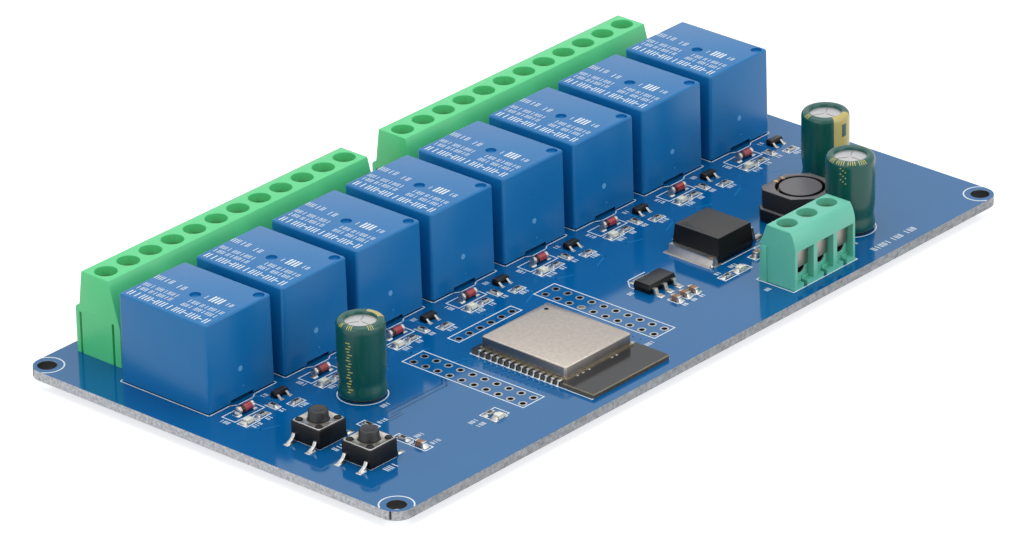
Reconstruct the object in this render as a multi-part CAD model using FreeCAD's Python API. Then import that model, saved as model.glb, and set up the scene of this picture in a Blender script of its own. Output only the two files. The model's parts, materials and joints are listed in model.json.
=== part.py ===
"""Relay module board: relays, screw terminals and their control electronics on one printed circuit board.

Millimetres. +X runs along the row of relays, +Y points from the controls at the front edge to the
terminals at the rear edge, +Z points up. The origin is under the middle of the board, at the level of
the tips of the soldered leads, on which the bare board stands.
"""
import FreeCAD, Part
import math
import os

os.makedirs("parts", exist_ok=True)

V = FreeCAD.Vector
UP = V(0, 0, 1)

# Clearances and overlaps shared by pieces that fit together
slide_gap = 0.1
screw_gap = 0.2
spill = 1.0

# Board
board_thickness = 1.6
board_corner_radius = 3.0
mount_hole_diameter = 3.2
mount_hole_inset = 2.5
tail_length = 1.5
board_top = tail_length + board_thickness

# Relay: a draughted blue case over a flat base with five leads
relay_count = 8
relay_pitch = 17.26
relay_width = 15.1
relay_length = 18.9
relay_height = 15.35
relay_side_margin = 5.74
relay_draft = 0.12
relay_corner_cut = 0.4
relay_top_chamfer = 0.3
relay_wall = 0.9
relay_rim_gap = 0.25
relay_base_height = 1.5
relay_notch_width = 5.0
relay_notch_height = 0.9
contact_lead_width = 1.0
contact_lead_thickness = 0.5
coil_lead_size = 0.6
coil_lead_spread = 12.0
common_lead_offset = 7.1
coil_lead_offset = 5.1
contact_lead_offset = 7.1

# Terminals along the rear edge, three poles to each relay
pole_pitch = 5.0
poles_per_block = 12
rear_block_height = 14.5
rear_block_depth = 9.8
rear_block_rear_margin = 2.6
rear_block_shoulder_height = 8.0
rear_block_step = 0.9
rear_block_step_rise = 0.6
rear_block_top_front = 1.7
rear_block_top_width = 5.9
rear_block_back_height = 6.65
rear_well_from_front = 4.75
rear_cage_depth = 6.2
rear_entry_top = 7.2
rear_block_to_relay = 3.2

# Three-pole supply terminal at the front edge
supply_poles = 3
supply_block_height = 10.1
supply_block_depth = 7.6
supply_shoulder_height = 7.0
supply_top_front = 1.1
supply_top_width = 4.85
supply_back_lean = 1.1
supply_back_knee_height = 7.3
supply_back_height = 6.7
supply_back_step = 0.25
supply_well_from_front = 3.85
supply_cage_depth = 4.8
supply_entry_top = 6.7
supply_end_wall = 0.13
supply_from_right = 34.9
supply_from_front = 2.65
rib_width = 1.0
rib_height = 6.3
rib_depth = 0.3
rib_from_back = 0.5

# What every terminal pole holds
entry_width = 3.9
entry_floor = 1.3
sill_notch_width = 1.4
sill_notch_height = 0.9
sill_notch_depth = 1.2
well_diameter = 3.9
screw_below_top = 1.7
screw_shank_diameter = 2.4
screw_slot_width = 0.6
screw_slot_depth = 0.7
cage_wall = 0.6
cage_floor_thickness = 0.4
cage_window_height = 1.4
pole_lead_width = 1.0
pole_lead_thickness = 0.8
key_slot_width = 0.35
key_slot_depth = 0.4
key_slot_bottom = 0.4
key_slot_top = 7.2
key_slot_front = 1.1
key_slot_back = 8.25

# Radial electrolytic capacitors
capacitor_diameter = 8.0
capacitor_height = 12.85
capacitor_shoulder = 0.55
capacitor_lip_width = 0.75
capacitor_lip_height = 0.15
capacitor_pinch_height = 1.9
capacitor_pinch_depth = 0.35
capacitor_pinch_half_width = 0.45
seal_height = 0.5
seal_inset = 0.6
capacitor_lead_diameter = 0.6
capacitor_lead_spacing = 3.5
capacitor_1_from_left = 26.75
capacitor_1_before_relays = 13.45
capacitor_2_from_right = 15.14
capacitor_2_from_front = 25.0
capacitor_3_from_right = 25.6
capacitor_3_from_front = 10.9

# Shielded inductor
inductor_size = 10.0
inductor_height = 5.5
inductor_big_chamfer = 2.9
inductor_small_chamfer = 1.1
inductor_base_height = 2.3
inductor_base_overhang = 0.6
inductor_bore_diameter = 8.1
inductor_flange_diameter = 7.5
inductor_flange_thickness = 0.7
inductor_post_diameter = 3.6
inductor_winding_gap = 0.2
inductor_from_right = 27.9
inductor_from_front = 20.1
terminal_strip_width = 2.6
terminal_strip_thickness = 0.25
terminal_strip_foot = 0.8

# Switching regulator with a soldered heat tab
buck_body_width = 8.7
buck_body_length = 9.8
buck_body_height = 4.4
buck_draft = 0.3
buck_tab_reach = 1.1
buck_tab_thickness = 1.27
buck_tab_inside = 4.0
buck_tab_width = 9.4
buck_lead_count = 5
buck_lead_pitch = 1.7
buck_lead_width = 0.8
buck_lead_thickness = 0.5
buck_lead_exit_height = 2.1
buck_lead_reach = 3.6
buck_lead_foot = 1.5
buck_from_right = 45.9
buck_from_front = 23.5

# Linear regulator
linear_body_width = 6.5
linear_body_length = 3.5
linear_body_height = 1.65
linear_draft = 0.25
linear_lead_pitch = 2.3
linear_lead_width = 0.75
linear_tab_width = 3.0
linear_lead_thickness = 0.28
linear_lead_exit_height = 0.75
linear_lead_reach = 1.75
linear_lead_foot = 0.9
linear_from_right = 62.7
linear_from_front = 21.6

# Free-wheel diode of the switching regulator
rectifier_length = 4.4
rectifier_width = 3.6
rectifier_height = 2.2
rectifier_draft = 0.2
rectifier_lead_width = 2.0
rectifier_lead_thickness = 0.25
rectifier_lead_reach = 0.9
rectifier_lead_foot = 0.6
rectifier_from_right = 38.6
rectifier_from_front = 15.9

# Wireless module: a thin board under a sheet-metal shield
module_width = 18.0
module_length = 25.5
module_thickness = 0.8
module_from_centre = -16.7
module_from_front = 2.6
module_pad_count = 14
module_pad_pitch = 1.27
module_pad_radius = 0.3
module_pad_from_end = 1.6
shield_width = 15.8
shield_length = 17.6
shield_height = 2.15
shield_corner_cut = 0.35
shield_flange = 0.25
shield_flange_height = 0.25
shield_from_end = 1.1

# Header holes left open for pin strips
header_pitch = 2.54
header_hole_diameter = 1.0
header_columns = 2
header_rows = 10
left_header_from_centre = -33.85
right_header_from_centre = -2.49
header_last_row_from_front = 10.14
strip_holes = 6
strip_from_centre = -23.25

# Push buttons
switch_size = 6.0
switch_body_height = 3.2
switch_cover_thickness = 0.25
switch_cover_inset = 0.1
switch_cavity_diameter = 4.6
switch_cavity_floor = 0.9
switch_post_leg = 0.9
switch_post_height = 0.15
button_diameter = 3.5
button_tip_diameter = 3.15
button_height = 1.85
button_edge_radius = 0.2
button_travel = 0.25
button_flange_diameter = 4.2
button_flange_height = 0.5
button_bore_gap = 0.08
dome_gap = 0.1
dome_thickness = 0.12
switch_lead_width = 0.7
switch_lead_thickness = 0.25
switch_lead_spread = 4.5
switch_lead_exit_height = 1.3
switch_lead_reach = 1.9
switch_lead_foot = 1.0
switch_from_left = 11.2
switch_1_from_front = 26.6
switch_2_from_front = 16.0

# Small parts of one relay channel, from the middle of its relay and from its front
diode_from_middle = -2.85
diode_before_front = 3.3
diode_length = 3.5
diode_diameter = 1.45
indicator_from_middle = -5.15
indicator_before_front = 6.2
bias_resistor_from_middle = -2.1
transistor_from_middle = 4.75
transistor_before_front = 3.5
transistor_width = 2.9
transistor_depth = 1.3
transistor_height = 1.0
transistor_draft = 0.12
transistor_lead_pitch = 1.9
transistor_lead_width = 0.42
transistor_lead_thickness = 0.15
transistor_lead_exit_height = 0.5
transistor_lead_reach = 0.6
gate_resistor_from_middle = 1.25
gate_resistor_before_front = 5.4
pull_resistor_from_middle = 4.5
pull_resistor_before_front = 7.3

# Chip parts: length, width and height
resistor_length = 1.6
resistor_width = 0.8
resistor_height = 0.45
chip_capacitor_length = 2.0
chip_capacitor_width = 1.25
chip_capacitor_height = 1.0
indicator_length = 2.0
indicator_width = 1.25
indicator_height = 0.75
status_pair_from_left = 33.9
status_indicator_from_front = 9.8
status_resistor_from_front = 11.7
reset_parts_from_left = 19.2
reset_resistor_from_front = 16.4
pull_up_resistor_from_front = 23.6
reset_capacitor_from_front = 12.8
supply_pair_from_front = 14.6
supply_resistor_from_right = 52.9
supply_indicator_from_right = 49.5
input_capacitor_from_right = 43.7
input_capacitor_from_front = 15.8
filter_capacitor_first_from_right = 60.4
filter_capacitor_pitch = 2.1
filter_capacitor_from_front = 15.4
filter_capacitor_count = 3

# Number of flats on round pieces: the smaller and more numerous the piece, the fewer
few_sides = 6
some_sides = 8
well_sides = 12
round_sides = 20

# The board follows what it carries: the row of relays in X, the two zones in Y
control_zone_depth = 37.5
board_length = 2 * relay_side_margin + (relay_count - 1) * relay_pitch + relay_width
power_zone_depth = rear_block_rear_margin + rear_block_depth + rear_block_to_relay + relay_length + 7.5
board_width = control_zone_depth + power_zone_depth
left_edge = -board_length / 2
right_edge = board_length / 2
front_edge = -board_width / 2
rear_edge = board_width / 2
rear_block_front = rear_edge - rear_block_rear_margin
relay_middle_y = rear_block_front - rear_block_depth - rear_block_to_relay - relay_length / 2
relay_front = relay_middle_y - relay_length / 2
relay_middles = [(index - (relay_count - 1) / 2) * relay_pitch for index in range(relay_count)]


def moved(shape, x, y, z=board_top):
    """A copy of a shape, shifted to its place on the board."""
    copy = shape.copy()
    copy.translate(V(x, y, z))
    return copy


def turned(shape, degrees):
    """A copy of a shape, turned about the vertical line through its origin."""
    copy = shape.copy()
    copy.rotate(V(0, 0, 0), UP, degrees)
    return copy


def block(width, depth, bottom, top, x=0.0, y=0.0):
    """An upright block, centred on x and y."""
    return Part.makeBox(width, depth, top - bottom, V(x - width / 2, y - depth / 2, bottom))


def cylinder(diameter, bottom, top, x=0.0, y=0.0):
    return Part.makeCylinder(diameter / 2, top - bottom, V(x, y, bottom), UP)


def ring_points(radius, height, sides, x=0.0, y=0.0):
    """The corners of a regular polygon on a circle of the radius."""
    angles = [2 * math.pi * (index + 0.5) / sides for index in range(sides)]
    return [V(x + radius * math.cos(angle), y + radius * math.sin(angle), height) for angle in angles]


def closed_wire(points):
    return Part.makePolygon(points + points[:1])


def faceted_rod(diameter, bottom, top, sides, x=0.0, y=0.0):
    """A small upright rod with a few flats, whose corners lie on the diameter."""
    outline = closed_wire(ring_points(diameter / 2, bottom, sides, x, y))
    return Part.Face(outline).extrude(V(0, 0, top - bottom))


def faceted_hole(diameter, bottom, top, sides, x=0.0, y=0.0):
    """The drill for a small upright hole with a few flats, which lie on the diameter."""
    return faceted_rod(diameter / math.cos(math.pi / sides), bottom, top, sides, x, y)


def rounded_outline(width, depth, radius, z):
    """The outline of a rectangle with round corners, centred on the origin."""
    x = width / 2
    y = depth / 2
    inner_x = x - radius
    inner_y = y - radius
    bulge = radius * math.sqrt(0.5)
    corners = [(1, 1), (-1, 1), (-1, -1), (1, -1)]
    edges = []
    for index, (side_x, side_y) in enumerate(corners):
        middle = V(side_x * (inner_x + bulge), side_y * (inner_y + bulge), z)
        on_x_side = V(side_x * x, side_y * inner_y, z)
        on_y_side = V(side_x * inner_x, side_y * y, z)
        start = on_x_side if index % 2 == 0 else on_y_side
        end = on_y_side if index % 2 == 0 else on_x_side
        edges.append(Part.Arc(start, middle, end).toShape())
    lines = []
    for index in range(4):
        begin = edges[index].Vertexes[-1].Point
        finish = edges[(index + 1) % 4].Vertexes[0].Point
        lines.append(Part.makeLine(begin, finish))
    ordered = []
    for arc, line in zip(edges, lines):
        ordered.append(arc)
        ordered.append(line)
    return Part.Wire(ordered)


def cut_corner_outline(width, depth, cut, z):
    """The outline of a rectangle with its corners cut off, centred on the origin."""
    x = width / 2
    y = depth / 2
    points = []
    for side_x, side_y in ((1, 1), (-1, 1), (-1, -1), (1, -1)):
        on_x_side = V(side_x * x, side_y * (y - cut), z)
        on_y_side = V(side_x * (x - cut), side_y * y, z)
        pair = [on_x_side, on_y_side]
        points.extend(pair if side_x * side_y > 0 else pair[::-1])
    return Part.makePolygon(points + points[:1])


def rectangle_outline(width, depth, z):
    x = width / 2
    y = depth / 2
    points = [V(-x, -y, z), V(x, -y, z), V(x, y, z), V(-x, y, z)]
    return Part.makePolygon(points + points[:1])


def tapered_block(width, depth, bottom, top, draft):
    """A moulded block whose four walls lean in by the draft towards the top."""
    low = rectangle_outline(width, depth, bottom)
    high = rectangle_outline(width - 2 * draft, depth - 2 * draft, top)
    return Part.makeLoft([low, high], True, True)


def profile_bar(points, length):
    """A bar of the given length along X, centred, whose end shows the points as (y, z)."""
    corners = [V(-length / 2, y, z) for y, z in points]
    return Part.Face(Part.makePolygon(corners + corners[:1])).extrude(V(length, 0, 0))


def sloped_lead(width, thickness, exit_height, reach):
    """A small flat lead that slopes from a body along -Y down to the board."""
    points = [(0, exit_height), (-reach, 0), (-reach, thickness), (0, exit_height + thickness)]
    return profile_bar(points, width)


def gull_lead(width, thickness, exit_height, reach, foot):
    """A flat lead that leaves a body along -Y, steps down and ends in a foot on the board."""
    knee = reach - foot
    upper = exit_height + thickness
    points = [
        (0, exit_height),
        (-knee * 0.4, exit_height),
        (-knee * 0.7, 0),
        (-reach, 0),
        (-reach, thickness),
        (-knee * 0.7 - thickness, thickness),
        (-knee * 0.4 - thickness, upper),
        (0, upper),
    ]
    return profile_bar(points, width)


def turned_with_flats(points, sides):
    """A turned solid from its half section, given as (radius, height) points, with flats round it."""
    rings = [ring_points(radius, height, sides) if radius > 0 else None for radius, height in points]
    faces = []
    for index, (radius, height) in enumerate(points):
        after = (index + 1) % len(points)
        next_radius, next_height = points[after]
        if radius == 0 and next_radius == 0:
            continue
        if height == next_height:
            wires = [closed_wire(ring) for ring in (rings[index], rings[after]) if ring]
            wires.sort(key=lambda wire: -wire.BoundBox.XLength)
            faces.append(Part.Face(wires[0]).cut(Part.Face(wires[1])).Faces[0] if len(wires) > 1
                         else Part.Face(wires[0]))
            continue
        for side in range(sides):
            other = (side + 1) % sides
            corners = [rings[index][side], rings[index][other], rings[after][other], rings[after][side]]
            faces.append(Part.Face(closed_wire(corners)))
    solid = Part.Solid(Part.Shell(faces))
    if solid.Volume < 0:
        solid.reverse()
    return solid


def write(name, solids):
    """One STEP file for one node, from one solid or a list of separate solids."""
    shape = Part.makeCompound(solids) if isinstance(solids, list) else solids
    shape.exportStep("parts/" + name + ".step")
    print(name, len(shape.Solids), round(shape.Volume, 1))


# Relay leads: one common lead between two coil leads at the front, two contact leads at the rear
def relay_lead_sections():
    half_spread = coil_lead_spread / 2
    sections = [
        (0, -common_lead_offset, contact_lead_width, contact_lead_thickness),
        (-half_spread, -coil_lead_offset, coil_lead_size, coil_lead_size),
        (half_spread, -coil_lead_offset, coil_lead_size, coil_lead_size),
        (-half_spread, contact_lead_offset, contact_lead_thickness, contact_lead_width),
        (half_spread, contact_lead_offset, contact_lead_thickness, contact_lead_width),
    ]
    return sections


def relay_case():
    """A thin-walled case, open below, with a notch in its front wall for the base."""
    low = cut_corner_outline(relay_width, relay_length, relay_corner_cut, relay_rim_gap)
    wide = relay_width - 2 * relay_draft
    long = relay_length - 2 * relay_draft
    high = cut_corner_outline(wide, long, relay_corner_cut, relay_height - relay_top_chamfer)
    wide = wide - 2 * relay_top_chamfer
    long = long - 2 * relay_top_chamfer
    top = cut_corner_outline(wide, long, relay_corner_cut, relay_height)
    case = Part.makeLoft([low, high, top], True, True)
    pocket_width = relay_width - 2 * relay_wall
    pocket_length = relay_length - 2 * relay_wall
    pocket = block(pocket_width, pocket_length, relay_rim_gap - spill, relay_base_height)
    notch = block(relay_notch_width, 2 * relay_wall + spill, relay_rim_gap - spill, relay_notch_height,
                  0, -relay_length / 2)
    return case.cut(pocket).cut(notch)


def relay_base():
    """The flat base that closes the case, with a stepped front edge in the notch."""
    width = relay_width - 2 * relay_wall - 2 * slide_gap
    length = relay_length - 2 * relay_wall - 2 * slide_gap
    return block(width, length, 0, relay_base_height)


def through_lead(width, depth, x, y, top=board_top):
    """A square lead from its seat down through the board to its tip."""
    return block(width, depth, 0, top, x, y)


# Terminal blocks: built with the wire entries facing -Y at y = 0, then turned and moved
def pole_centres(count):
    return [(index - (count - 1) / 2) * pole_pitch for index in range(count)]


def bored_housing(body, count, well_y, cage_depth, entry_top, sides):
    """Wire entries that run back to the clamps, screw wells over them and slots for the leads."""
    cuts = []
    entry_back = well_y + cage_depth / 2 + slide_gap
    entry_depth = entry_back + spill
    entry_middle = entry_back - entry_depth / 2
    for x in pole_centres(count):
        cuts.append(block(entry_width, entry_depth, entry_floor, entry_top, x, entry_middle))
        well_top = body.BoundBox.ZMax + spill
        cuts.append(faceted_hole(well_diameter, entry_top - spill, well_top, sides, x, well_y))
        cuts.append(block(pole_lead_width, pole_lead_thickness, -spill, entry_floor + spill, x, well_y))
    return body.cut(Part.makeCompound(cuts)).removeSplitter()


def rear_profile():
    front = 0.0
    back = rear_block_depth
    top_back = rear_block_top_front + rear_block_top_width
    return [
        (front, 0),
        (front, rear_block_shoulder_height),
        (rear_block_step, rear_block_shoulder_height + rear_block_step_rise),
        (rear_block_top_front, rear_block_height),
        (top_back, rear_block_height),
        (back, rear_block_back_height),
        (back, 0),
    ]


def rear_housing():
    """A twelve-pole housing with two key slots in each end."""
    length = poles_per_block * pole_pitch
    body = profile_bar(rear_profile(), length)
    housing = bored_housing(body, poles_per_block, rear_well_from_front, rear_cage_depth,
                            rear_entry_top, well_sides)
    for end in (-length / 2, length / 2):
        for y in (key_slot_front, key_slot_back):
            slot = block(2 * key_slot_depth, key_slot_width, key_slot_bottom, key_slot_top, end, y)
            housing = housing.cut(slot)
    return housing


def supply_profile_face():
    """The end outline of the supply terminal, with its round front shoulder."""
    x = -supply_block_length() / 2
    top_back = supply_top_front + supply_top_width
    knee = top_back + supply_back_lean
    corner = V(x, 0, supply_shoulder_height)
    crest = V(x, supply_top_front, supply_block_height)
    bulge = V(x, supply_top_front * 0.25, (supply_shoulder_height + supply_block_height) / 2)
    shoulder = Part.Arc(corner, bulge, crest).toShape()
    points = [
        crest,
        V(x, top_back, supply_block_height),
        V(x, knee, supply_back_knee_height),
        V(x, supply_block_depth - supply_back_step, supply_back_height),
        V(x, supply_block_depth, 0),
        V(x, 0, 0),
        corner,
    ]
    rest = Part.makePolygon(points)
    return Part.Face(Part.Wire([shoulder] + rest.Edges))


def supply_block_length():
    return supply_poles * pole_pitch + 2 * supply_end_wall


def supply_housing():
    """The three-pole housing: dovetail rib on one end, its groove on the other, notched sills."""
    length = supply_block_length()
    body = supply_profile_face().extrude(V(length, 0, 0))
    housing = bored_housing(body, supply_poles, supply_well_from_front, supply_cage_depth,
                            supply_entry_top, well_sides)
    for x in pole_centres(supply_poles):
        notch = block(sill_notch_width, 2 * sill_notch_depth, -spill, sill_notch_height, x, 0)
        housing = housing.cut(notch)
    rib_y = supply_block_depth - supply_back_step - rib_from_back - rib_width / 2
    groove = block(2 * (rib_depth + slide_gap), rib_width + 2 * slide_gap, -spill, rib_height + slide_gap,
                   length / 2, rib_y)
    rib = block(2 * rib_depth, rib_width, 0, rib_height, -length / 2, rib_y)
    return housing.cut(groove).fuse(rib).removeSplitter()


def clamp_cage(depth, top, threaded):
    """A metal clamp: a block with a wire window through it and, where it shows, a threaded hole."""
    width = entry_width - 2 * slide_gap
    window_bottom = entry_floor + cage_floor_thickness
    window_top = window_bottom + cage_window_height
    cage = block(width, depth, entry_floor, top)
    cage = cage.cut(block(width - 2 * cage_wall, depth + spill, window_bottom, window_top))
    if threaded:
        thread_diameter = screw_shank_diameter + slide_gap
        middle = (window_bottom + window_top) / 2
        cage = cage.cut(faceted_hole(thread_diameter, middle, top + spill, some_sides))
    return cage


def clamp_screw(seat, head_top, head_sides, shanked):
    """A slotted screw whose head rests on the clamp. Where it shows, its shank reaches the window."""
    head_diameter = well_diameter - 2 * screw_gap
    screw = faceted_rod(head_diameter, seat, head_top, head_sides)
    slot = block(head_diameter + spill, screw_slot_width, head_top - screw_slot_depth, head_top + spill)
    screw = screw.cut(slot)
    if shanked:
        shank_bottom = entry_floor + cage_floor_thickness + cage_window_height
        screw = screw.fuse(faceted_rod(screw_shank_diameter, shank_bottom, seat, some_sides))
    return screw


# Radial capacitors
def capacitor():
    """A can in its shrunk sleeve: pinched near the foot, with a raised lip round its end disc."""
    radius = capacitor_diameter / 2
    lip_outer = radius - capacitor_shoulder
    lip_inner = lip_outer - capacitor_lip_width
    disc = capacitor_height - capacitor_lip_height
    waist = radius - capacitor_pinch_depth
    points = [
        (0, seal_height),
        (radius, seal_height),
        (radius, capacitor_pinch_height - capacitor_pinch_half_width),
        (waist, capacitor_pinch_height),
        (radius, capacitor_pinch_height + capacitor_pinch_half_width),
        (radius, capacitor_height - capacitor_shoulder),
        (lip_outer, capacitor_height),
        (lip_inner, capacitor_height),
        (lip_inner, disc),
        (0, disc),
    ]
    return turned_with_flats(points, round_sides)


# Shielded inductor
def chamfered_square(size, big, small, bottom, top, overhang=0.0):
    """A square block with two large and two small corner chamfers, longer along X by the overhang."""
    half = size / 2
    wide = half + overhang
    points = [
        (-wide + big, -half), (wide - small, -half), (wide, -half + small), (wide, half - big),
        (wide - big, half), (-wide + small, half), (-wide, half - small), (-wide, -half + big),
    ]
    corners = [V(x, y, bottom) for x, y in points]
    return Part.Face(closed_wire(corners)).extrude(V(0, 0, top - bottom))


def inductor_parts():
    """The base with two soldered strips, the square shield, the drum core and its winding."""
    base = chamfered_square(inductor_size, inductor_big_chamfer, inductor_small_chamfer,
                            terminal_strip_thickness, inductor_base_height, inductor_base_overhang)
    strips = []
    for side in (-1, 1):
        x = side * (inductor_size / 2 + inductor_base_overhang - terminal_strip_foot / 2)
        strips.append(block(terminal_strip_foot, terminal_strip_width, 0, terminal_strip_thickness, x, 0))
    shield = chamfered_square(inductor_size, inductor_big_chamfer, inductor_small_chamfer,
                              inductor_base_height, inductor_height)
    bore_top = inductor_height + spill
    bore = faceted_hole(inductor_bore_diameter, inductor_base_height - spill, bore_top, round_sides)
    shield = shield.cut(bore)
    flange = inductor_flange_diameter / 2
    post = inductor_post_diameter / 2
    low = inductor_base_height + inductor_flange_thickness
    high = inductor_height - inductor_flange_thickness
    drum = [(0, inductor_base_height), (flange, inductor_base_height), (flange, low), (post, low),
            (post, high), (flange, high), (flange, inductor_height), (0, inductor_height)]
    core = turned_with_flats(drum, round_sides)
    wound = flange - inductor_winding_gap
    winding = turned_with_flats([(post, low), (wound, low), (wound, high), (post, high)], round_sides)
    return base, strips, shield, core, winding


# Surface-mount packages
def buck_parts():
    """The body, its heat tab with the slug under the body, and five formed leads."""
    body = tapered_block(buck_body_width, buck_body_length, 0, buck_body_height, buck_draft)
    tab_depth = buck_tab_inside + buck_tab_reach
    tab_middle = -buck_body_width / 2 - buck_tab_reach + tab_depth / 2
    tab = block(tab_depth, buck_tab_width, 0, buck_tab_thickness, tab_middle, 0)
    body = body.cut(tab)
    lead = gull_lead(buck_lead_width, buck_lead_thickness, buck_lead_exit_height,
                     buck_lead_reach, buck_lead_foot)
    lead = turned(lead, 90)
    leads = []
    wall = buck_body_width / 2
    for index in range(buck_lead_count):
        y = (index - (buck_lead_count - 1) / 2) * buck_lead_pitch
        leads.append(moved(lead, wall, y, 0).cut(body))
    return body, [tab] + leads


def package_with_leads(body, lead, front_y, front_xs, rear_lead, rear_xs):
    """A moulded body with leads in front of it and behind it, each ending at the body's wall."""
    leads = []
    for x in front_xs:
        leads.append(moved(lead, x, -front_y, 0).cut(body))
    for x in rear_xs:
        leads.append(moved(turned(rear_lead, 180), x, front_y, 0).cut(body))
    return leads


def linear_parts():
    body = tapered_block(linear_body_width, linear_body_length, 0, linear_body_height, linear_draft)
    lead = gull_lead(linear_lead_width, linear_lead_thickness, linear_lead_exit_height,
                     linear_lead_reach, linear_lead_foot)
    tab = gull_lead(linear_tab_width, linear_lead_thickness, linear_lead_exit_height,
                    linear_lead_reach, linear_lead_foot)
    xs = [-linear_lead_pitch, 0, linear_lead_pitch]
    leads = package_with_leads(body, lead, linear_body_length / 2, xs, tab, [0])
    return body, leads


def transistor_parts():
    body = tapered_block(transistor_width, transistor_depth, 0, transistor_height, transistor_draft)
    lead = sloped_lead(transistor_lead_width, transistor_lead_thickness, transistor_lead_exit_height,
                       transistor_lead_reach)
    half = transistor_lead_pitch / 2
    leads = package_with_leads(body, lead, transistor_depth / 2, [-half, half], lead, [0])
    return body, leads


def rectifier():
    body = tapered_block(rectifier_width, rectifier_length, 0, rectifier_height, rectifier_draft)
    lead = gull_lead(rectifier_lead_width, rectifier_lead_thickness, rectifier_height / 2,
                     rectifier_lead_reach, rectifier_lead_foot)
    leads = package_with_leads(body, lead, rectifier_length / 2, [0], lead, [0])
    return [turned(solid, 90) for solid in [body] + leads]


def chip(length, width, height):
    """A chip part with its long side along X."""
    return block(length, width, 0, height)


def clamp_diode():
    """A small glass diode with metal caps, lying on its side along X."""
    rod = faceted_rod(diode_diameter, -diode_length / 2, diode_length / 2, some_sides)
    rod.rotate(V(0, 0, 0), V(0, 1, 0), 90)
    return moved(rod, 0, 0, diode_diameter / 2)


# Wireless module
def module_board():
    """The module's board, with half-round plated notches along both long edges."""
    plate = block(module_width, module_length, 0, module_thickness)
    notches = []
    first = module_length / 2 - module_pad_from_end
    drill = faceted_hole(2 * module_pad_radius, -spill, module_thickness + spill, few_sides)
    for side in (-1, 1):
        for index in range(module_pad_count):
            y = first - index * module_pad_pitch
            notches.append(moved(drill, side * module_width / 2, y, 0))
    return plate.cut(Part.makeCompound(notches))


def module_shield():
    """The shield: a shallow can with round corners and a narrow flange at its foot."""
    y = module_length / 2 - shield_from_end - shield_length / 2
    low = cut_corner_outline(shield_width, shield_length, shield_corner_cut, 0)
    can = Part.Face(low).extrude(V(0, 0, shield_height))
    width = shield_width + 2 * shield_flange
    length = shield_length + 2 * shield_flange
    flange = block(width, length, 0, shield_flange_height)
    return moved(can.fuse(flange).removeSplitter(), 0, y, module_thickness)


# Push button switch
def switch_parts():
    """The moulded base with its posts, the steel cover, the button, the dome and four leads."""
    cover_size = switch_size - 2 * switch_cover_inset
    cover_top = switch_body_height + switch_cover_thickness
    base = block(switch_size, switch_size, 0, switch_body_height)
    cavity = faceted_hole(switch_cavity_diameter, switch_cavity_floor, switch_body_height + spill, well_sides)
    base = base.cut(cavity)
    half = switch_size / 2
    post_top = cover_top + switch_post_height
    for degrees in (0, 90, 180, 270):
        corner = [V(half, half, 0), V(half - switch_post_leg, half, 0), V(half, half - switch_post_leg, 0)]
        post = Part.Face(closed_wire(corner)).extrude(V(0, 0, post_top))
        base = base.fuse(turned(post, degrees))
    base = base.removeSplitter()
    cut = switch_post_leg + slide_gap
    cover_outline = cut_corner_outline(cover_size, cover_size, cut, switch_body_height)
    cover = Part.Face(cover_outline).extrude(V(0, 0, switch_cover_thickness))
    bore = button_diameter + 2 * button_bore_gap
    cover = cover.cut(faceted_hole(bore, switch_body_height - spill, cover_top + spill, well_sides))
    flange_top = switch_body_height
    flange_bottom = flange_top - button_flange_height
    tip = cover_top + button_height
    button = turned_with_flats([
        (0, flange_bottom),
        (button_flange_diameter / 2, flange_bottom),
        (button_flange_diameter / 2, flange_top),
        (button_diameter / 2, flange_top),
        (button_diameter / 2, cover_top),
        (button_tip_diameter / 2, tip - button_edge_radius),
        (button_tip_diameter / 2 - button_edge_radius, tip),
        (0, tip),
    ], well_sides)
    dome_top = flange_bottom - button_travel - dome_gap
    rim = switch_cavity_diameter / 2 - 2 * slide_gap
    crown = rim * 0.45
    dome = profile_bar([
        (-rim, switch_cavity_floor),
        (-crown, dome_top),
        (crown, dome_top),
        (rim, switch_cavity_floor),
        (rim - dome_thickness, switch_cavity_floor),
        (crown, dome_top - dome_thickness),
        (-crown, dome_top - dome_thickness),
        (-rim + dome_thickness, switch_cavity_floor),
    ], rim)
    lead = gull_lead(switch_lead_width, switch_lead_thickness, switch_lead_exit_height,
                     switch_lead_reach, switch_lead_foot)
    leads = []
    for degrees in (-90, 90):
        for y in (-switch_lead_spread / 2, switch_lead_spread / 2):
            side = -1 if degrees < 0 else 1
            leads.append(moved(turned(lead, degrees), side * switch_size / 2, y, 0))
    return base, cover, button, dome, leads


# Places of the parts on the board
supply_x = right_edge - supply_from_right - supply_block_length() / 2
supply_y = front_edge + supply_from_front
rear_block_xs = [-2 * relay_pitch, 2 * relay_pitch]
module_x = module_from_centre
module_y = front_edge + module_from_front + module_length / 2
switch_places = [
    (left_edge + switch_from_left, front_edge + switch_1_from_front),
    (left_edge + switch_from_left, front_edge + switch_2_from_front),
]
capacitor_places = [
    (left_edge + capacitor_1_from_left, relay_front - capacitor_1_before_relays),
    (right_edge - capacitor_2_from_right, front_edge + capacitor_2_from_front),
    (right_edge - capacitor_3_from_right, front_edge + capacitor_3_from_front),
]
header_places = []
for first_column in (left_header_from_centre, right_header_from_centre):
    for column in range(header_columns):
        for row in range(header_rows):
            header_places.append((first_column + column * header_pitch,
                                  front_edge + header_last_row_from_front + row * header_pitch))
strip_y = front_edge + header_last_row_from_front + (header_rows - 1) * header_pitch
for index in range(strip_holes):
    header_places.append((strip_from_centre + index * header_pitch, strip_y))

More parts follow.
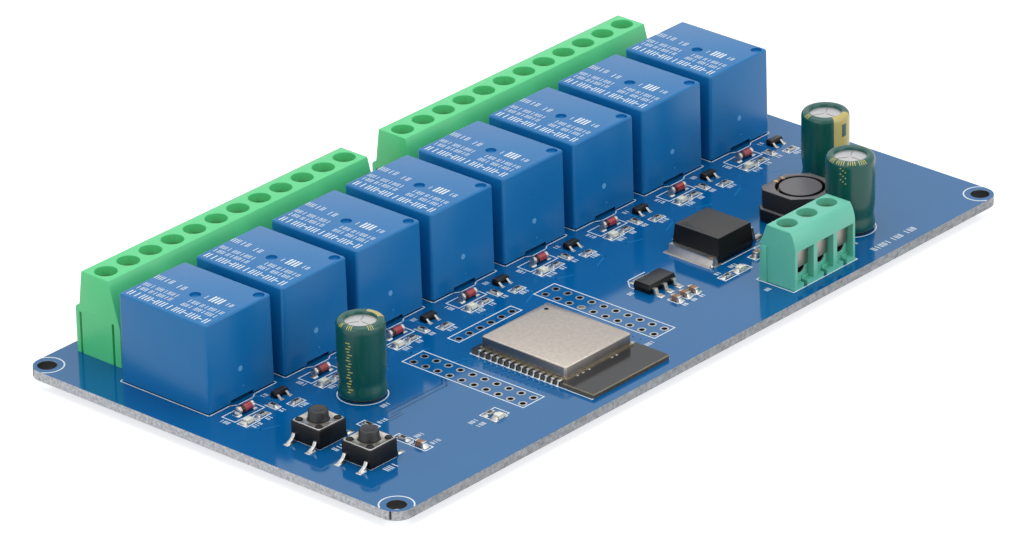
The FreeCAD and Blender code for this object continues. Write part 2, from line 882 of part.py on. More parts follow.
# Leads that pass through the board: each one also cuts its own slot
lead_width = pole_lead_width
relay_leads = []
for middle in relay_middles:
    for x, y, width, depth in relay_lead_sections():
        relay_leads.append(through_lead(width, depth, middle + x, relay_middle_y + y))
pole_seat = board_top + entry_floor
pole_leads = []
for block_x in rear_block_xs:
    for x in pole_centres(poles_per_block):
        lead_y = rear_block_front - rear_well_from_front
        pole_leads.append(through_lead(lead_width, pole_lead_thickness, block_x + x, lead_y, pole_seat))
for x in pole_centres(supply_poles):
    lead_y = supply_y + supply_well_from_front
    pole_leads.append(through_lead(lead_width, pole_lead_thickness, supply_x + x, lead_y, pole_seat))
capacitor_leads = []
for x, y in capacitor_places:
    for side in (-1, 1):
        lead_x = x + side * capacitor_lead_spacing / 2
        capacitor_leads.append(faceted_rod(capacitor_lead_diameter, 0, board_top, few_sides, lead_x, y))


def printed_board():
    """The bare board: rounded plate, four mounting holes, header holes and the lead slots."""
    outline = rounded_outline(board_length, board_width, board_corner_radius, tail_length)
    plate = Part.Face(outline).extrude(V(0, 0, board_thickness))
    holes = []
    low = tail_length - spill
    high = board_top + spill
    for side_x in (-1, 1):
        for side_y in (-1, 1):
            x = side_x * (board_length / 2 - mount_hole_inset)
            y = side_y * (board_width / 2 - mount_hole_inset)
            holes.append(cylinder(mount_hole_diameter, low, high, x, y))
    for x, y in header_places:
        holes.append(faceted_hole(header_hole_diameter, low, high, few_sides, x, y))
    return plate.cut(Part.makeCompound(holes + relay_leads + pole_leads + capacitor_leads))


write("pcb", printed_board())

case = relay_case()
base = relay_base()
for number, middle in enumerate(relay_middles, 1):
    write("relay_case_%d" % number, moved(case, middle, relay_middle_y))
    write("relay_base_%d" % number, moved(base, middle, relay_middle_y))
write("relay_leads", relay_leads)

housing = turned(rear_housing(), 180)
write("terminal_block_left", moved(housing, rear_block_xs[0], rear_block_front))
write("terminal_block_right", moved(housing, rear_block_xs[1], rear_block_front))
write("supply_terminal_block", moved(supply_housing(), supply_x, supply_y))

rear_cage_top = rear_entry_top - slide_gap
supply_cage_top = supply_entry_top - slide_gap
rear_cage = clamp_cage(rear_cage_depth, rear_cage_top, False)
rear_screw = clamp_screw(rear_cage_top, rear_block_height - screw_below_top, few_sides, False)
rear_pole_y = rear_block_front - rear_well_from_front
cages = []
screws = []
for block_x in rear_block_xs:
    for x in pole_centres(poles_per_block):
        cages.append(moved(rear_cage, block_x + x, rear_pole_y))
        screws.append(moved(rear_screw, block_x + x, rear_pole_y))
write("terminal_clamps", cages)
write("terminal_screws", screws)

supply_cage = clamp_cage(supply_cage_depth, supply_cage_top, True)
supply_screw = clamp_screw(supply_cage_top, supply_block_height - screw_below_top, well_sides, True)
supply_pole_y = supply_y + supply_well_from_front
supply_xs = [supply_x + x for x in pole_centres(supply_poles)]
write("supply_clamps", [moved(supply_cage, x, supply_pole_y) for x in supply_xs])
write("supply_screws", [moved(supply_screw, x, supply_pole_y) for x in supply_xs])
write("terminal_leads", pole_leads)

can = capacitor()
seal = faceted_rod(capacitor_diameter - 2 * seal_inset, 0, seal_height, some_sides)
for number, (x, y) in enumerate(capacitor_places, 1):
    write("capacitor_%d" % number, moved(can, x, y))
write("capacitor_seals", [moved(seal, x, y) for x, y in capacitor_places])
write("capacitor_leads", capacitor_leads)

inductor_x = right_edge - inductor_from_right
inductor_y = front_edge + inductor_from_front
inductor_base, inductor_strips, inductor_shield, inductor_core, inductor_winding = inductor_parts()
write("inductor_base", moved(inductor_base, inductor_x, inductor_y))
write("inductor_terminals", [moved(strip, inductor_x, inductor_y) for strip in inductor_strips])
write("inductor_shield", moved(inductor_shield, inductor_x, inductor_y))
write("inductor_core", moved(inductor_core, inductor_x, inductor_y))
write("inductor_winding", moved(inductor_winding, inductor_x, inductor_y))

buck_x = right_edge - buck_from_right
buck_y = front_edge + buck_from_front
buck_body, buck_leads = buck_parts()
write("buck_regulator_body", moved(buck_body, buck_x, buck_y))
write("buck_regulator_leads", [moved(lead, buck_x, buck_y) for lead in buck_leads])

linear_x = right_edge - linear_from_right
linear_y = front_edge + linear_from_front
linear_body, linear_leads = linear_parts()
write("linear_regulator_body", moved(linear_body, linear_x, linear_y))
write("linear_regulator_leads", [moved(lead, linear_x, linear_y) for lead in linear_leads])

diode_x = right_edge - rectifier_from_right
diode_y = front_edge + rectifier_from_front
write("rectifier", [moved(solid, diode_x, diode_y) for solid in rectifier()])

write("wireless_module_board", moved(module_board(), module_x, module_y))
write("wireless_module_shield", moved(module_shield(), module_x, module_y))

switch_base, switch_cover, switch_button, switch_dome, switch_leads = switch_parts()
domes = []
for number, (x, y) in enumerate(switch_places, 1):
    write("switch_%d_base" % number, moved(switch_base, x, y))
    write("switch_%d_cover" % number, moved(switch_cover, x, y))
    write("switch_%d_button" % number, moved(switch_button, x, y))
    write("switch_%d_leads" % number, [moved(lead, x, y) for lead in switch_leads])
    domes.append(moved(switch_dome, x, y))
write("switch_domes", domes)

transistor_body, transistor_leads = transistor_parts()
resistor = chip(resistor_length, resistor_width, resistor_height)
chip_capacitor = chip(chip_capacitor_length, chip_capacitor_width, chip_capacitor_height)
indicator = chip(indicator_length, indicator_width, indicator_height)
glass_diode = clamp_diode()
bodies = []
body_leads = []
diodes = []
indicators = []
resistors = []
for middle in relay_middles:
    transistor_y = relay_front - transistor_before_front
    bodies.append(moved(transistor_body, middle + transistor_from_middle, transistor_y))
    for lead in transistor_leads:
        body_leads.append(moved(lead, middle + transistor_from_middle, transistor_y))
    diodes.append(moved(glass_diode, middle + diode_from_middle, relay_front - diode_before_front))
    row_y = relay_front - indicator_before_front
    indicators.append(moved(indicator, middle + indicator_from_middle, row_y))
    resistors.append(moved(resistor, middle + bias_resistor_from_middle, row_y))
    resistors.append(moved(turned(resistor, 90), middle + gate_resistor_from_middle,
                           relay_front - gate_resistor_before_front))
    resistors.append(moved(resistor, middle + pull_resistor_from_middle,
                           relay_front - pull_resistor_before_front))
status_x = left_edge + status_pair_from_left
reset_x = left_edge + reset_parts_from_left
supply_pair_y = front_edge + supply_pair_from_front
input_x = right_edge - input_capacitor_from_right
indicators.append(moved(indicator, status_x, front_edge + status_indicator_from_front))
indicators.append(moved(indicator, right_edge - supply_indicator_from_right, supply_pair_y))
resistors.append(moved(resistor, status_x, front_edge + status_resistor_from_front))
resistors.append(moved(turned(resistor, 90), reset_x, front_edge + reset_resistor_from_front))
resistors.append(moved(turned(resistor, 90), reset_x, front_edge + pull_up_resistor_from_front))
resistors.append(moved(resistor, right_edge - supply_resistor_from_right, supply_pair_y))
chip_capacitors = [
    moved(turned(chip_capacitor, 90), reset_x, front_edge + reset_capacitor_from_front),
    moved(chip_capacitor, input_x, front_edge + input_capacitor_from_front),
]
for index in range(filter_capacitor_count):
    x = right_edge - filter_capacitor_first_from_right - index * filter_capacitor_pitch
    chip_capacitors.append(moved(turned(chip_capacitor, 90), x, front_edge + filter_capacitor_from_front))
write("transistor_bodies", bodies)
write("transistor_leads", body_leads)
write("clamp_diodes", diodes)
write("indicator_leds", indicators)
write("chip_resistors", resistors)
write("chip_capacitors", chip_capacitors)

print("board", round(board_length, 2), round(board_width, 2), "files", len(os.listdir("parts")))
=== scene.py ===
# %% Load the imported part
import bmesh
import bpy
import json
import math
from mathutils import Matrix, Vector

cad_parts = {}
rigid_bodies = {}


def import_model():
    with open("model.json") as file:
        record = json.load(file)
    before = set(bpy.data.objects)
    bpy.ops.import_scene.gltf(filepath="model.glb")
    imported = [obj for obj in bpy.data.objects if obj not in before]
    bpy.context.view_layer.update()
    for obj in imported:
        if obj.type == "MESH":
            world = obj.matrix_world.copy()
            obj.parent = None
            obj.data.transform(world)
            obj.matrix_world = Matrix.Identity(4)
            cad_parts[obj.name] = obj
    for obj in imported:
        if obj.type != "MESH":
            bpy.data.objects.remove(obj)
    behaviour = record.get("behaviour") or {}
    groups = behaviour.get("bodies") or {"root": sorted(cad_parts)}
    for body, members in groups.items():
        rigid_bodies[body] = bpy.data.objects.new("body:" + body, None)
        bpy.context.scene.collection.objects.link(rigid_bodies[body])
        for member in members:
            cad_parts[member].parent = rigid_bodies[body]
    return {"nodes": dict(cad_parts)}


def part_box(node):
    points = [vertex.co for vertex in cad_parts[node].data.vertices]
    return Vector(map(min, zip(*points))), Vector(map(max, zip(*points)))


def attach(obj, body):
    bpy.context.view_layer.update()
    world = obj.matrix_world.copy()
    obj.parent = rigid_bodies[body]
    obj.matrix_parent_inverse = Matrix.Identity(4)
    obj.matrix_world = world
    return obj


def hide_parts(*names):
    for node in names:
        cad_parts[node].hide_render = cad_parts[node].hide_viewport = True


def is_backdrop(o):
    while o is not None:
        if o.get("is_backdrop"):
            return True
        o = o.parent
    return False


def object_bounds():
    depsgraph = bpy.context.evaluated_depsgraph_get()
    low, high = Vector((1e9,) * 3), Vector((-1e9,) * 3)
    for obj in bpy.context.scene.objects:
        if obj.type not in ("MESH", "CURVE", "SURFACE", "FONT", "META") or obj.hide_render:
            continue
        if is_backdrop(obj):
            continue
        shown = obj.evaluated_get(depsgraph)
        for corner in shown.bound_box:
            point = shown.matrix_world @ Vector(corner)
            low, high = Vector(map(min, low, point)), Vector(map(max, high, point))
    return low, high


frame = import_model()

# %% [markdown]
# The part is a relay module board: eight blue relays, two long rows of screw terminals, a small
# wireless module and its power supply on one blue circuit board. The frame has brought its structure
# in as one mesh per piece. Here each visible surface gets its real shape and finish. Most pieces are
# modelled again with smooth edges and stand for their plain solids. Lengths are in millimetres from
# the near mounting hole, which is easy to measure to, and are turned into metres in one place.

MM = 0.001
part_low, part_high = (Vector(corner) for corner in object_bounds())
board_low, board_high = (Vector(corner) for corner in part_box("pcb"))
hole_inset = 2.5
near_hole = Vector((board_low.x + hole_inset * MM, board_low.y + hole_inset * MM, board_high.z))


def on_board(x, y, z=0.0):
    """A place measured from the near mounting hole and the board's top."""
    return near_hole + Vector((x, y, z)) * MM


hole_spans = (142.4, 74.5)
relay_pitch = 17.26
first = 10.9
relay_middles = [first + relay_pitch * index for index in range(8)]
relay_front = 42.5
print("board", [round(size / MM, 1) for size in board_high - board_low])

# %% [markdown]
# Every new piece is started as an empty mesh at the origin and grows in edit mode. Three small
# helpers do most of the work. One adds a box between two corners. One starts from a flat rectangle
# and extrudes it up through sections, as a draughted moulding widens and narrows. One starts from a
# circle and extrudes it ring by ring, as a turned piece follows its outline. Each leaves its result
# selected, so that it can be painted or copied at once.

# %% Modelling helpers
UP = {"X": Vector((1, 0, 0)), "Y": Vector((0, 1, 0)), "Z": Vector((0, 0, 1))}
LAY = {"X": (0, math.pi / 2, 0), "Y": (-math.pi / 2, 0, 0), "Z": (0, 0, 0)}


def to_objects():
    """Back to object mode with nothing selected."""
    if bpy.context.mode != "OBJECT":
        bpy.ops.object.mode_set(mode="OBJECT")
    bpy.ops.object.select_all(action="DESELECT")


def begin(name="cutter", *materials):
    """An empty mesh at the origin, opened in edit mode."""
    to_objects()
    bpy.ops.object.add(type="MESH", location=(0, 0, 0))
    piece = bpy.context.object
    piece.name = piece.data.name = name
    for material in materials:
        piece.data.materials.append(made[material])
    bpy.ops.object.mode_set(mode="EDIT")
    bpy.ops.mesh.select_mode(type="FACE")
    return piece


def swing(angle, x, y):
    """Turns what is selected anticlockwise about a place on the board."""
    bpy.ops.transform.rotate(value=-angle, orient_axis="Z", center_override=on_board(x, y))


def add_box(low, high):
    """A box between two corners."""
    low, high = on_board(*low), on_board(*high)
    bpy.ops.mesh.select_all(action="DESELECT")
    bpy.ops.mesh.primitive_cube_add(size=1, location=(low + high) / 2, scale=high - low)


def add_plate(x0, y0, x1, y1, z=0.0):
    """A flat rectangle."""
    middle = on_board((x0 + x1) / 2, (y0 + y1) / 2, z)
    bpy.ops.mesh.select_all(action="DESELECT")
    bpy.ops.mesh.primitive_plane_add(size=MM, location=middle)
    bpy.ops.transform.resize(value=(x1 - x0, y1 - y0, 1), center_override=middle)


def outward():
    """Selects the whole shape and points its faces outwards."""
    bpy.ops.mesh.select_linked()
    bpy.ops.mesh.normals_make_consistent(inside=False)


def stack(*sections, at=(0.0, 0.0)):
    """A rectangle extruded up through sections of (z, x0, x1, y0, y1), measured from a place."""
    x, y = at
    sections = [(z, x + x0, x + x1, y + y0, y + y1) for z, x0, x1, y0, y1 in sections]
    z, x0, x1, y0, y1 = sections[0]
    add_plate(x0, y0, x1, y1, z)
    for next_z, a0, a1, b0, b1 in sections[1:]:
        middle = on_board((a0 + a1) / 2, (b0 + b1) / 2, next_z)
        bpy.ops.mesh.extrude_region()
        bpy.ops.transform.translate(value=middle - on_board((x0 + x1) / 2, (y0 + y1) / 2, z))
        ratio = ((a1 - a0) / (x1 - x0), (b1 - b0) / (y1 - y0), 1)
        bpy.ops.transform.resize(value=ratio, center_override=middle)
        z, x0, x1, y0, y1 = next_z, a0, a1, b0, b1
    outward()


def rise(x0, x1, y0, y1, *levels):
    """A stack whose sections are all inset from one rectangle: levels are (z, inset)."""
    stack(*[(z, x0 + inset, x1 - inset, y0 + inset, y1 - inset) for z, inset in levels])


def turn(outline, sides, place, axis="Z", closed=False):
    """A circle extruded along an axis through (radius, distance) rings. Closed joins the ends."""
    place = on_board(*place)
    radius, level = outline[0]
    bpy.ops.mesh.select_mode(type="EDGE" if closed else "FACE")
    bpy.ops.mesh.select_all(action="DESELECT")
    bpy.ops.mesh.primitive_circle_add(vertices=sides, radius=radius * MM, rotation=LAY[axis],
                                      fill_type="NOTHING" if closed else "NGON",
                                      location=place + UP[axis] * level * MM)
    for next_radius, next_level in outline[1:] + outline[:1] * closed:
        bpy.ops.mesh.extrude_region()
        bpy.ops.transform.translate(value=UP[axis] * (next_level - level) * MM)
        ratio = Vector((1, 1, 1)) * (next_radius / radius)
        ratio["XYZ".index(axis)] = 1
        bpy.ops.transform.resize(value=ratio, center_override=place + UP[axis] * next_level * MM)
        radius, level = next_radius, next_level
    bpy.ops.mesh.select_linked()
    if closed:
        bpy.ops.mesh.remove_doubles(threshold=0.001 * MM)
        bpy.ops.mesh.select_mode(type="FACE")
    outward()


def repeat(places, whole=False):
    """Copies what is selected, or the whole mesh, from the first (x, y) place to the others."""
    if whole:
        bpy.ops.mesh.select_all(action="SELECT")
    for (x, y), (next_x, next_y) in zip(places, places[1:]):
        bpy.ops.mesh.duplicate()
        bpy.ops.transform.translate(value=Vector((next_x - x, next_y - y, 0)) * MM)


def pick(kind, test):
    """Selects the faces or edges whose middle, in millimetres on the board, and direction pass a test."""
    bpy.ops.mesh.select_mode(type=kind)
    bpy.ops.mesh.select_all(action="DESELECT")
    mesh = bmesh.from_edit_mesh(bpy.context.object.data)
    mesh.normal_update()
    for item in mesh.faces if kind == "FACE" else mesh.edges:
        corners = [vertex.co for vertex in item.verts]
        middle = (sum(corners, Vector()) / len(corners) - near_hole) / MM
        way = item.normal if kind == "FACE" else (corners[1] - corners[0]).normalized()
        item.select_set(bool(test(middle, way)))
    mesh.select_flush_mode()
    bmesh.update_edit_mesh(bpy.context.object.data)


def paint(index, test=None):
    """Gives the selected faces, or the ones that pass a test, a material of the piece."""
    if test:
        pick("FACE", test)
    bpy.context.object.active_material_index = index
    bpy.ops.object.material_slot_assign()


def round_edges(width, test, segments=3, kind="EDGE"):
    """Rounds the edges that pass a test, or the rim of the faces that do."""
    pick(kind, test)
    if kind == "FACE":
        bpy.ops.mesh.region_to_loop()
    bpy.ops.mesh.bevel(offset=width * MM, segments=segments, affect="EDGES")


def upright(place, way):
    """A test for edges that stand up."""
    return abs(way.z) > 0.9


def top_above(level):
    """Makes a test for faces that look up, above a level."""
    return lambda place, way: way.z > 0.9 and place.z > level


def only(piece):
    """Back to object mode with one piece selected and active."""
    to_objects()
    piece.select_set(True)
    bpy.context.view_layer.objects.active = piece


def cut(piece):
    """Takes the volume of the open cutter out of a piece, which is open afterwards."""
    cutter = bpy.context.object
    only(piece)
    modifier = piece.modifiers.new("cut", "BOOLEAN")
    modifier.object = cutter
    modifier.solver = "EXACT"
    bpy.ops.object.modifier_apply(modifier="cut")
    bpy.data.objects.remove(cutter)
    bpy.ops.object.mode_set(mode="EDIT")


def finish(stands_for=(), bevel=0.0, angle=35, body="board"):
    """Rounds the open piece's edges, smooths its shading and ties it to its body."""
    piece = bpy.context.object
    only(piece)
    if bevel:
        modifier = piece.modifiers.new("edges", "BEVEL")
        modifier.width = bevel * MM
        modifier.segments = 2
        modifier.limit_method = "ANGLE"
        modifier.angle_limit = math.radians(40)
        bpy.ops.object.modifier_apply(modifier="edges")
    bpy.ops.object.shade_smooth_by_angle(angle=math.radians(angle))
    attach(piece, body)
    if stands_for:
        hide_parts(*stands_for)
    print(piece.name, len(piece.data.polygons), "faces")


# %% [markdown]
# Finishes are built from three shared effects. Moulded plastic has a fine skin: the colour wanders a
# little, the gloss is uneven and there is a very slight relief. Formed metal has stretched streaks and
# duller patches. Board laminate is lacquered on its faces and bare and speckled on its cut edges, of
# which the short ones are painted paler as painted light from the lamp at the left. The direction of
# the surface tells all these apart. Each effect is a node group, so one set of nodes serves many
# materials with different numbers. All of them read Object coordinates, so a pattern keeps its real
# size and stays on its piece.

# %% Shared surface effects
def screen(red, green, blue):
    """A colour as it is read from a screen, from 0 to 255, in the linear values of a shader."""
    return tuple((value / 255 / 12.92) if value < 11 else ((value / 255 + 0.055) / 1.055) ** 2.4
                 for value in (red, green, blue)) + (1.0,)


def new_group(name, inputs):
    """A node group with its inputs, and a node for Object coordinates and directions."""
    group = bpy.data.node_groups.new(name, "ShaderNodeTree")
    for label, value in inputs.items():
        kind = {4: "Color", 3: "Vector"}[len(value)] if isinstance(value, tuple) else "Float"
        socket = group.interface.new_socket(label, in_out="INPUT", socket_type="NodeSocket" + kind)
        socket.default_value = value
    return group, group.nodes.new("NodeGroupInput").outputs, add_node(group, "TexCoord").outputs


def add_node(tree, kind, inputs=(), **settings):
    """A node with its settings, and its inputs set or linked by name or number."""
    node = tree.nodes.new("ShaderNode" + kind)
    for label, value in settings.items():
        setattr(node, label, value)
    for label, value in dict(inputs).items():
        if isinstance(value, bpy.types.NodeSocket):
            tree.links.new(value, node.inputs[label])
        else:
            node.inputs[label].default_value = value
    return node


def maths(tree, operation, a, b=0.0, c=0.0):
    return add_node(tree, "Math", {0: a, 1: b, 2: c}, operation=operation).outputs[0]


def noise(tree, place, scale, detail=2.0):
    return add_node(tree, "TexNoise", {"Vector": place, "Scale": scale, "Detail": detail}).outputs[0]


def brighten(tree, colour, value):
    return add_node(tree, "HueSaturation", {"Value": value, "Color": colour}).outputs[0]


def mix(tree, share, first_colour, second_colour):
    return add_node(tree, "Mix", {0: share, 6: first_colour, 7: second_colour}, data_type="RGBA").outputs[2]


def close_group(group, colour, gloss, strength, height):
    """Leads colour, roughness and a slight relief out of the group."""
    relief = add_node(group, "Bump", {"Strength": strength, "Distance": 0.02 * MM, "Height": height})
    result = group.nodes.new("NodeGroupOutput").inputs
    for label, kind, value in (("Colour", "Color", colour), ("Roughness", "Float", gloss),
                               ("Normal", "Vector", relief.outputs[0])):
        group.interface.new_socket(label, in_out="OUTPUT", socket_type="NodeSocket" + kind)
        group.links.new(value, result[label])


skin, given, coordinates = new_group("moulded_skin", {
    "Colour": (0.5, 0.5, 0.5, 1), "Roughness": 0.35, "Drift": 0.08, "Cells": 900.0, "Relief": 0.1})
fine = noise(skin, coordinates["Object"], given["Cells"], 4.0)
broad = noise(skin, coordinates["Object"], maths(skin, "MULTIPLY", given["Cells"], 0.12))
drift = maths(skin, "MULTIPLY_ADD", maths(skin, "SUBTRACT", broad, 0.5), given["Drift"], 1.0)
gloss = maths(skin, "MULTIPLY_ADD", maths(skin, "SUBTRACT", fine, 0.5), 0.1, given["Roughness"])
close_group(skin, brighten(skin, given["Colour"], drift), gloss, given["Relief"], fine)

metal, given, coordinates = new_group("formed_metal", {
    "Colour": (0.7, 0.7, 0.7, 1), "Dull colour": screen(120, 115, 110), "Roughness": 0.25,
    "Dullness": 0.3, "Relief": 0.1, "Stretch": (900.0, 900.0, 200.0), "Patches": 420.0})
along = add_node(metal, "VectorMath", {0: coordinates["Object"], 1: given["Stretch"]}, operation="MULTIPLY")
streak = noise(metal, along.outputs[0], 1.0, 3.0)
patch = noise(metal, coordinates["Object"], given["Patches"], 4.0)
tone = mix(metal, maths(metal, "MULTIPLY", patch, given["Dullness"]), given["Colour"], given["Dull colour"])
gloss = maths(metal, "MULTIPLY_ADD", streak, 0.15, given["Roughness"])
close_group(metal, tone, gloss, given["Relief"], streak)

laminate, given, coordinates = new_group("lacquered_laminate", {
    "Lacquer": (0, 0.1, 0.3, 1), "Edge": (0.6, 0.5, 0.35, 1), "Gloss": 0.1})
way = add_node(laminate, "SeparateXYZ", {0: coordinates["Normal"]}).outputs
face = maths(laminate, "GREATER_THAN", maths(laminate, "ABSOLUTE", way[2]), 0.5)
speck = maths(laminate, "MULTIPLY_ADD", noise(laminate, coordinates["Object"], 1900.0, 4.0), 1.7, 0.17)
# Edges that face along X, the short ones, are painted paler: painted light from the lamp at the left.
pale = maths(laminate, "MULTIPLY_ADD", maths(laminate, "ABSOLUTE", way[0]), 0.5, 0.75)
edge = brighten(laminate, given["Edge"], maths(laminate, "MULTIPLY", speck, pale))
weave = noise(laminate, coordinates["Object"], 160.0, 3.0)
lacquer = brighten(laminate, given["Lacquer"], maths(laminate, "MULTIPLY_ADD", weave, 0.14, 0.93))
gloss = maths(laminate, "MULTIPLY_ADD", weave, 0.06, given["Gloss"])
gloss = add_node(laminate, "Mix", {0: face, 2: 0.75, 3: gloss}).outputs[0]
close_group(laminate, mix(laminate, face, edge, lacquer), gloss, 0.06, weave)

# %% [markdown]
# One helper sets up a Principled surface fed by one of the three effects. Each finish is a row of a
# table. Its values go to the first inputs of the effect, in order, and the others keep their usual
# values. A table of its own has what is the same all over, such as a bluish gloss. The materials are
# kept by name in another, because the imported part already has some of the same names.

# %% Materials
made = {}


def new_material(name, effect, values):
    """A Principled surface fed by one of the shared effects."""
    material = made[name] = bpy.data.materials.new(name)
    material.use_nodes = True
    tree = material.node_tree
    shader = tree.nodes["Principled BSDF"].inputs
    group = tree.nodes.new("ShaderNodeGroup")
    group.node_tree = effect
    for socket, value in zip(group.inputs, values):
        socket.default_value = screen(*value) if socket.type == "RGBA" else value
    for label, output in (("Base Color", "Colour"), ("Roughness", "Roughness"), ("Normal", "Normal")):
        tree.links.new(group.outputs[output], shader[label])
    shader["Metallic"].default_value = float(effect == metal)
    for label, value in all_over.get(name, {}).items():
        shader[label].default_value = value


all_over = {"board_lacquer": {"IOR": 1.56, "Specular Tint": (0.6, 1.0, 1.0, 1.0)},
            "track_lacquer": {"Specular Tint": (0.6, 1.0, 1.0, 1.0)},
            "gap_lacquer": {"Specular Tint": (0.4, 0.9, 1.0, 1.0)},
            "relay_blue": {"Specular Tint": (0.75, 1.0, 1.0, 1.0)},
            "ferrite": {"Specular IOR Level": 0.3}, "inductor_black": {"Specular IOR Level": 0.3},
            "package_black": {"Specular IOR Level": 0.25}, "switch_black": {"Specular IOR Level": 0.3},
            "diode_red": {"Coat Weight": 0.6}}
plastics = {
    "bare_laminate": ((160, 146, 120), 0.7, 0.3, 3000.0, 0.2),
    "track_lacquer": ((20, 112, 176), 0.1, 0.04),
    "gap_lacquer": ((0, 50, 104), 0.1, 0.04),
    "white_ink": ((222, 232, 240), 0.5, 0.1, 2500.0, 0.2),
    "relay_blue": ((12, 108, 172), 0.3, 0.05, 1400.0, 0.08),
    "relay_mark": ((104, 168, 216), 0.3),
    "relay_base_blue": ((12, 30, 44), 0.5),
    "terminal_green": ((88, 211, 137), 0.32, 0.05, 1200.0, 0.1),
    "supply_green": ((100, 192, 167), 0.32, 0.05, 1200.0, 0.1),
    "sleeve_green": ((10, 82, 74), 0.24, 0.06, 500.0, 0.05),
    "sleeve_gold": ((186, 172, 98), 0.3, 0.08),
    "print_gold": ((196, 188, 104), 0.3, 0.2),
    "rubber": ((24, 24, 24), 0.7),
    "ferrite": ((30, 30, 33), 0.45, 0.2, 1600.0, 0.35),
    "ground_ferrite": ((96, 94, 98), 0.36, 0.3, 1600.0, 0.12),
    "inductor_black": ((12, 12, 14), 0.5),
    "package_black": ((9, 9, 11), 0.5, 0.15, 2200.0, 0.3),
    "package_top": ((34, 34, 36), 0.45, 0.2, 2200.0, 0.35),
    "switch_black": ((9, 9, 11), 0.5),
    "button_grey": ((30, 31, 34), 0.4, 0.1, 1600.0, 0.2),
    "diode_red": ((160, 40, 46), 0.12, 0.25, 1200.0, 0.05),
    "band_black": ((44, 18, 20), 0.2, 0.3),
    "lamp_white": ((228, 226, 216), 0.45),
    "lamp_lens": ((230, 232, 216), 0.15, 0.1, 1500.0, 0.05),
    "ceramic": ((205, 204, 198), 0.5),
    "dark_hollow": ((16, 15, 17), 0.6),
    "resistor_film": ((26, 26, 28), 0.35),
    "capacitor_brown": ((138, 100, 72), 0.4, 0.15)}
even = (2500.0, 2500.0, 2500.0)
metals = {
    "tin": ((205, 205, 202),),
    "zinc_plate": ((196, 186, 160), (120, 108, 84), 0.3, 0.4),
    "steel": ((168, 158, 152), (104, 98, 94), 0.34),
    "aluminium": ((205, 205, 206), (160, 160, 160), 0.3, 0.3, 0.15, even),
    "copper": ((184, 160, 134), (120, 88, 66), 0.4, 0.5),
    "shield_metal": ((204, 195, 186), (112, 103, 94), 0.26, 0.5, 0.15, even, 1500.0),
    "shield_side": ((150, 146, 142), (90, 88, 86), 0.3, 0.4),
    "cover_metal": ((196, 192, 186), (130, 126, 120), 0.28),
    "worn_tab": ((196, 192, 190), (104, 100, 98), 0.4, 0.7, 0.6, even)}
lacquers = {"board_lacquer": ((4, 90, 150), (178, 179, 184), 0.06),
            "module_lacquer": ((26, 28, 32), (72, 68, 61), 0.12)}
for effect, rows in ((skin, plastics), (metal, metals), (laminate, lacquers)):
    for name, values in rows.items():
        new_material(name, effect, values)
seen = {"pcb": "board_lacquer", "wireless_module_board": "module_lacquer", "_leads": "tin",
        "inductor_terminals": "tin", "inductor_winding": "copper", "capacitor_seals": "rubber",
        "_clamps": "steel", "switch_domes": "steel", "relay_base": "relay_base_blue"}
for name, node in frame["nodes"].items():
    finishes = [material for part, material in seen.items() if part in name] or ["package_black"]
    node.data.materials.clear()
    node.data.materials.append(made[finishes[0]])
print(len(made), "materials")

# %% [markdown]
# The circuit board itself keeps its solid and only gets its lacquer. What is printed or etched on it
# is too thin for the structure, so it is added here. The white ink is drawn with flat rectangles: an
# outline is a rectangle that is inset and loses its middle, and a slanting line is a turned
# rectangle. The rings round the mounting holes are wider than the corners, so they end at the edge.
# All are then extruded together by a hundredth of a millimetre or two, so that the ink has an edge
# and the ends of lines close. Where the real board carries lettering, short bars stand in.

# %% Printing on the board
ink_level = 0.012


def hollow(width):
    """Leaves a rim of one line width of the selected face."""
    bpy.ops.mesh.inset(thickness=width * MM, depth=0)
    bpy.ops.mesh.delete(type="FACE")


def outline(x0, y0, x1, y1):
    """A printed rectangle."""
    add_plate(x0, y0, x1, y1, ink_level)
    hollow(0.2)


def hoop(x, y, radius, width=0.2, sides=48):
    """A printed circle."""
    bpy.ops.mesh.select_all(action="DESELECT")
    bpy.ops.mesh.primitive_circle_add(vertices=sides, radius=radius * MM, fill_type="NGON",
                                      location=on_board(x, y, ink_level))
    hollow(width)


def stroke(*points, width=0.2, z=ink_level):
    """A line through points, as turned rectangles."""
    for (x0, y0), (x1, y1) in zip(points, points[1:]):
        half = (math.hypot(x1 - x0, y1 - y0) + width) / 2
        x, y = (x0 + x1) / 2, (y0 + y1) / 2
        add_plate(x - half, y - width / 2, x + half, y + width / 2, z)
        swing(math.atan2(y1 - y0, x1 - x0), x, y)


def bars(x, y, count, height=0.9, along="X", z=ink_level, weight=0.14, pitch=0.72):
    """A row of short bars in place of lettering, from a first corner."""
    forms = ((0.15, 0.6), (0.35,), (0.1, 0.55), (0.15, 0.6), (0.3,), (0.1, 0.5))
    for index in range(count):
        for across in forms[(index * 5 + int(x * 7 + y * 3)) % len(forms)]:
            step = (index + across) * pitch * height
            ends = [(step, low * height) for low in (0.08, 0.92)]
            stroke(*[(x + u, y + v) if along == "X" else (x - v, y + u) for u, v in ends],
                   width=weight, z=z)


def thicken(height=0.015):
    """Gives all that is flat in the open mesh its thickness."""
    bpy.ops.mesh.select_all(action="SELECT")
    bpy.ops.mesh.extrude_region()
    bpy.ops.transform.translate(value=(0, 0, height * MM))
    bpy.ops.mesh.select_all(action="SELECT")
    bpy.ops.mesh.normals_make_consistent(inside=False)


def past_corner(place, way):
    """True beyond the board's outline, whose corners are rounded by 3 mm."""
    past = [max(0.5 - min(spot, span - spot), 0) for spot, span in zip(place, hole_spans)]
    return math.hypot(*past) > 2.93


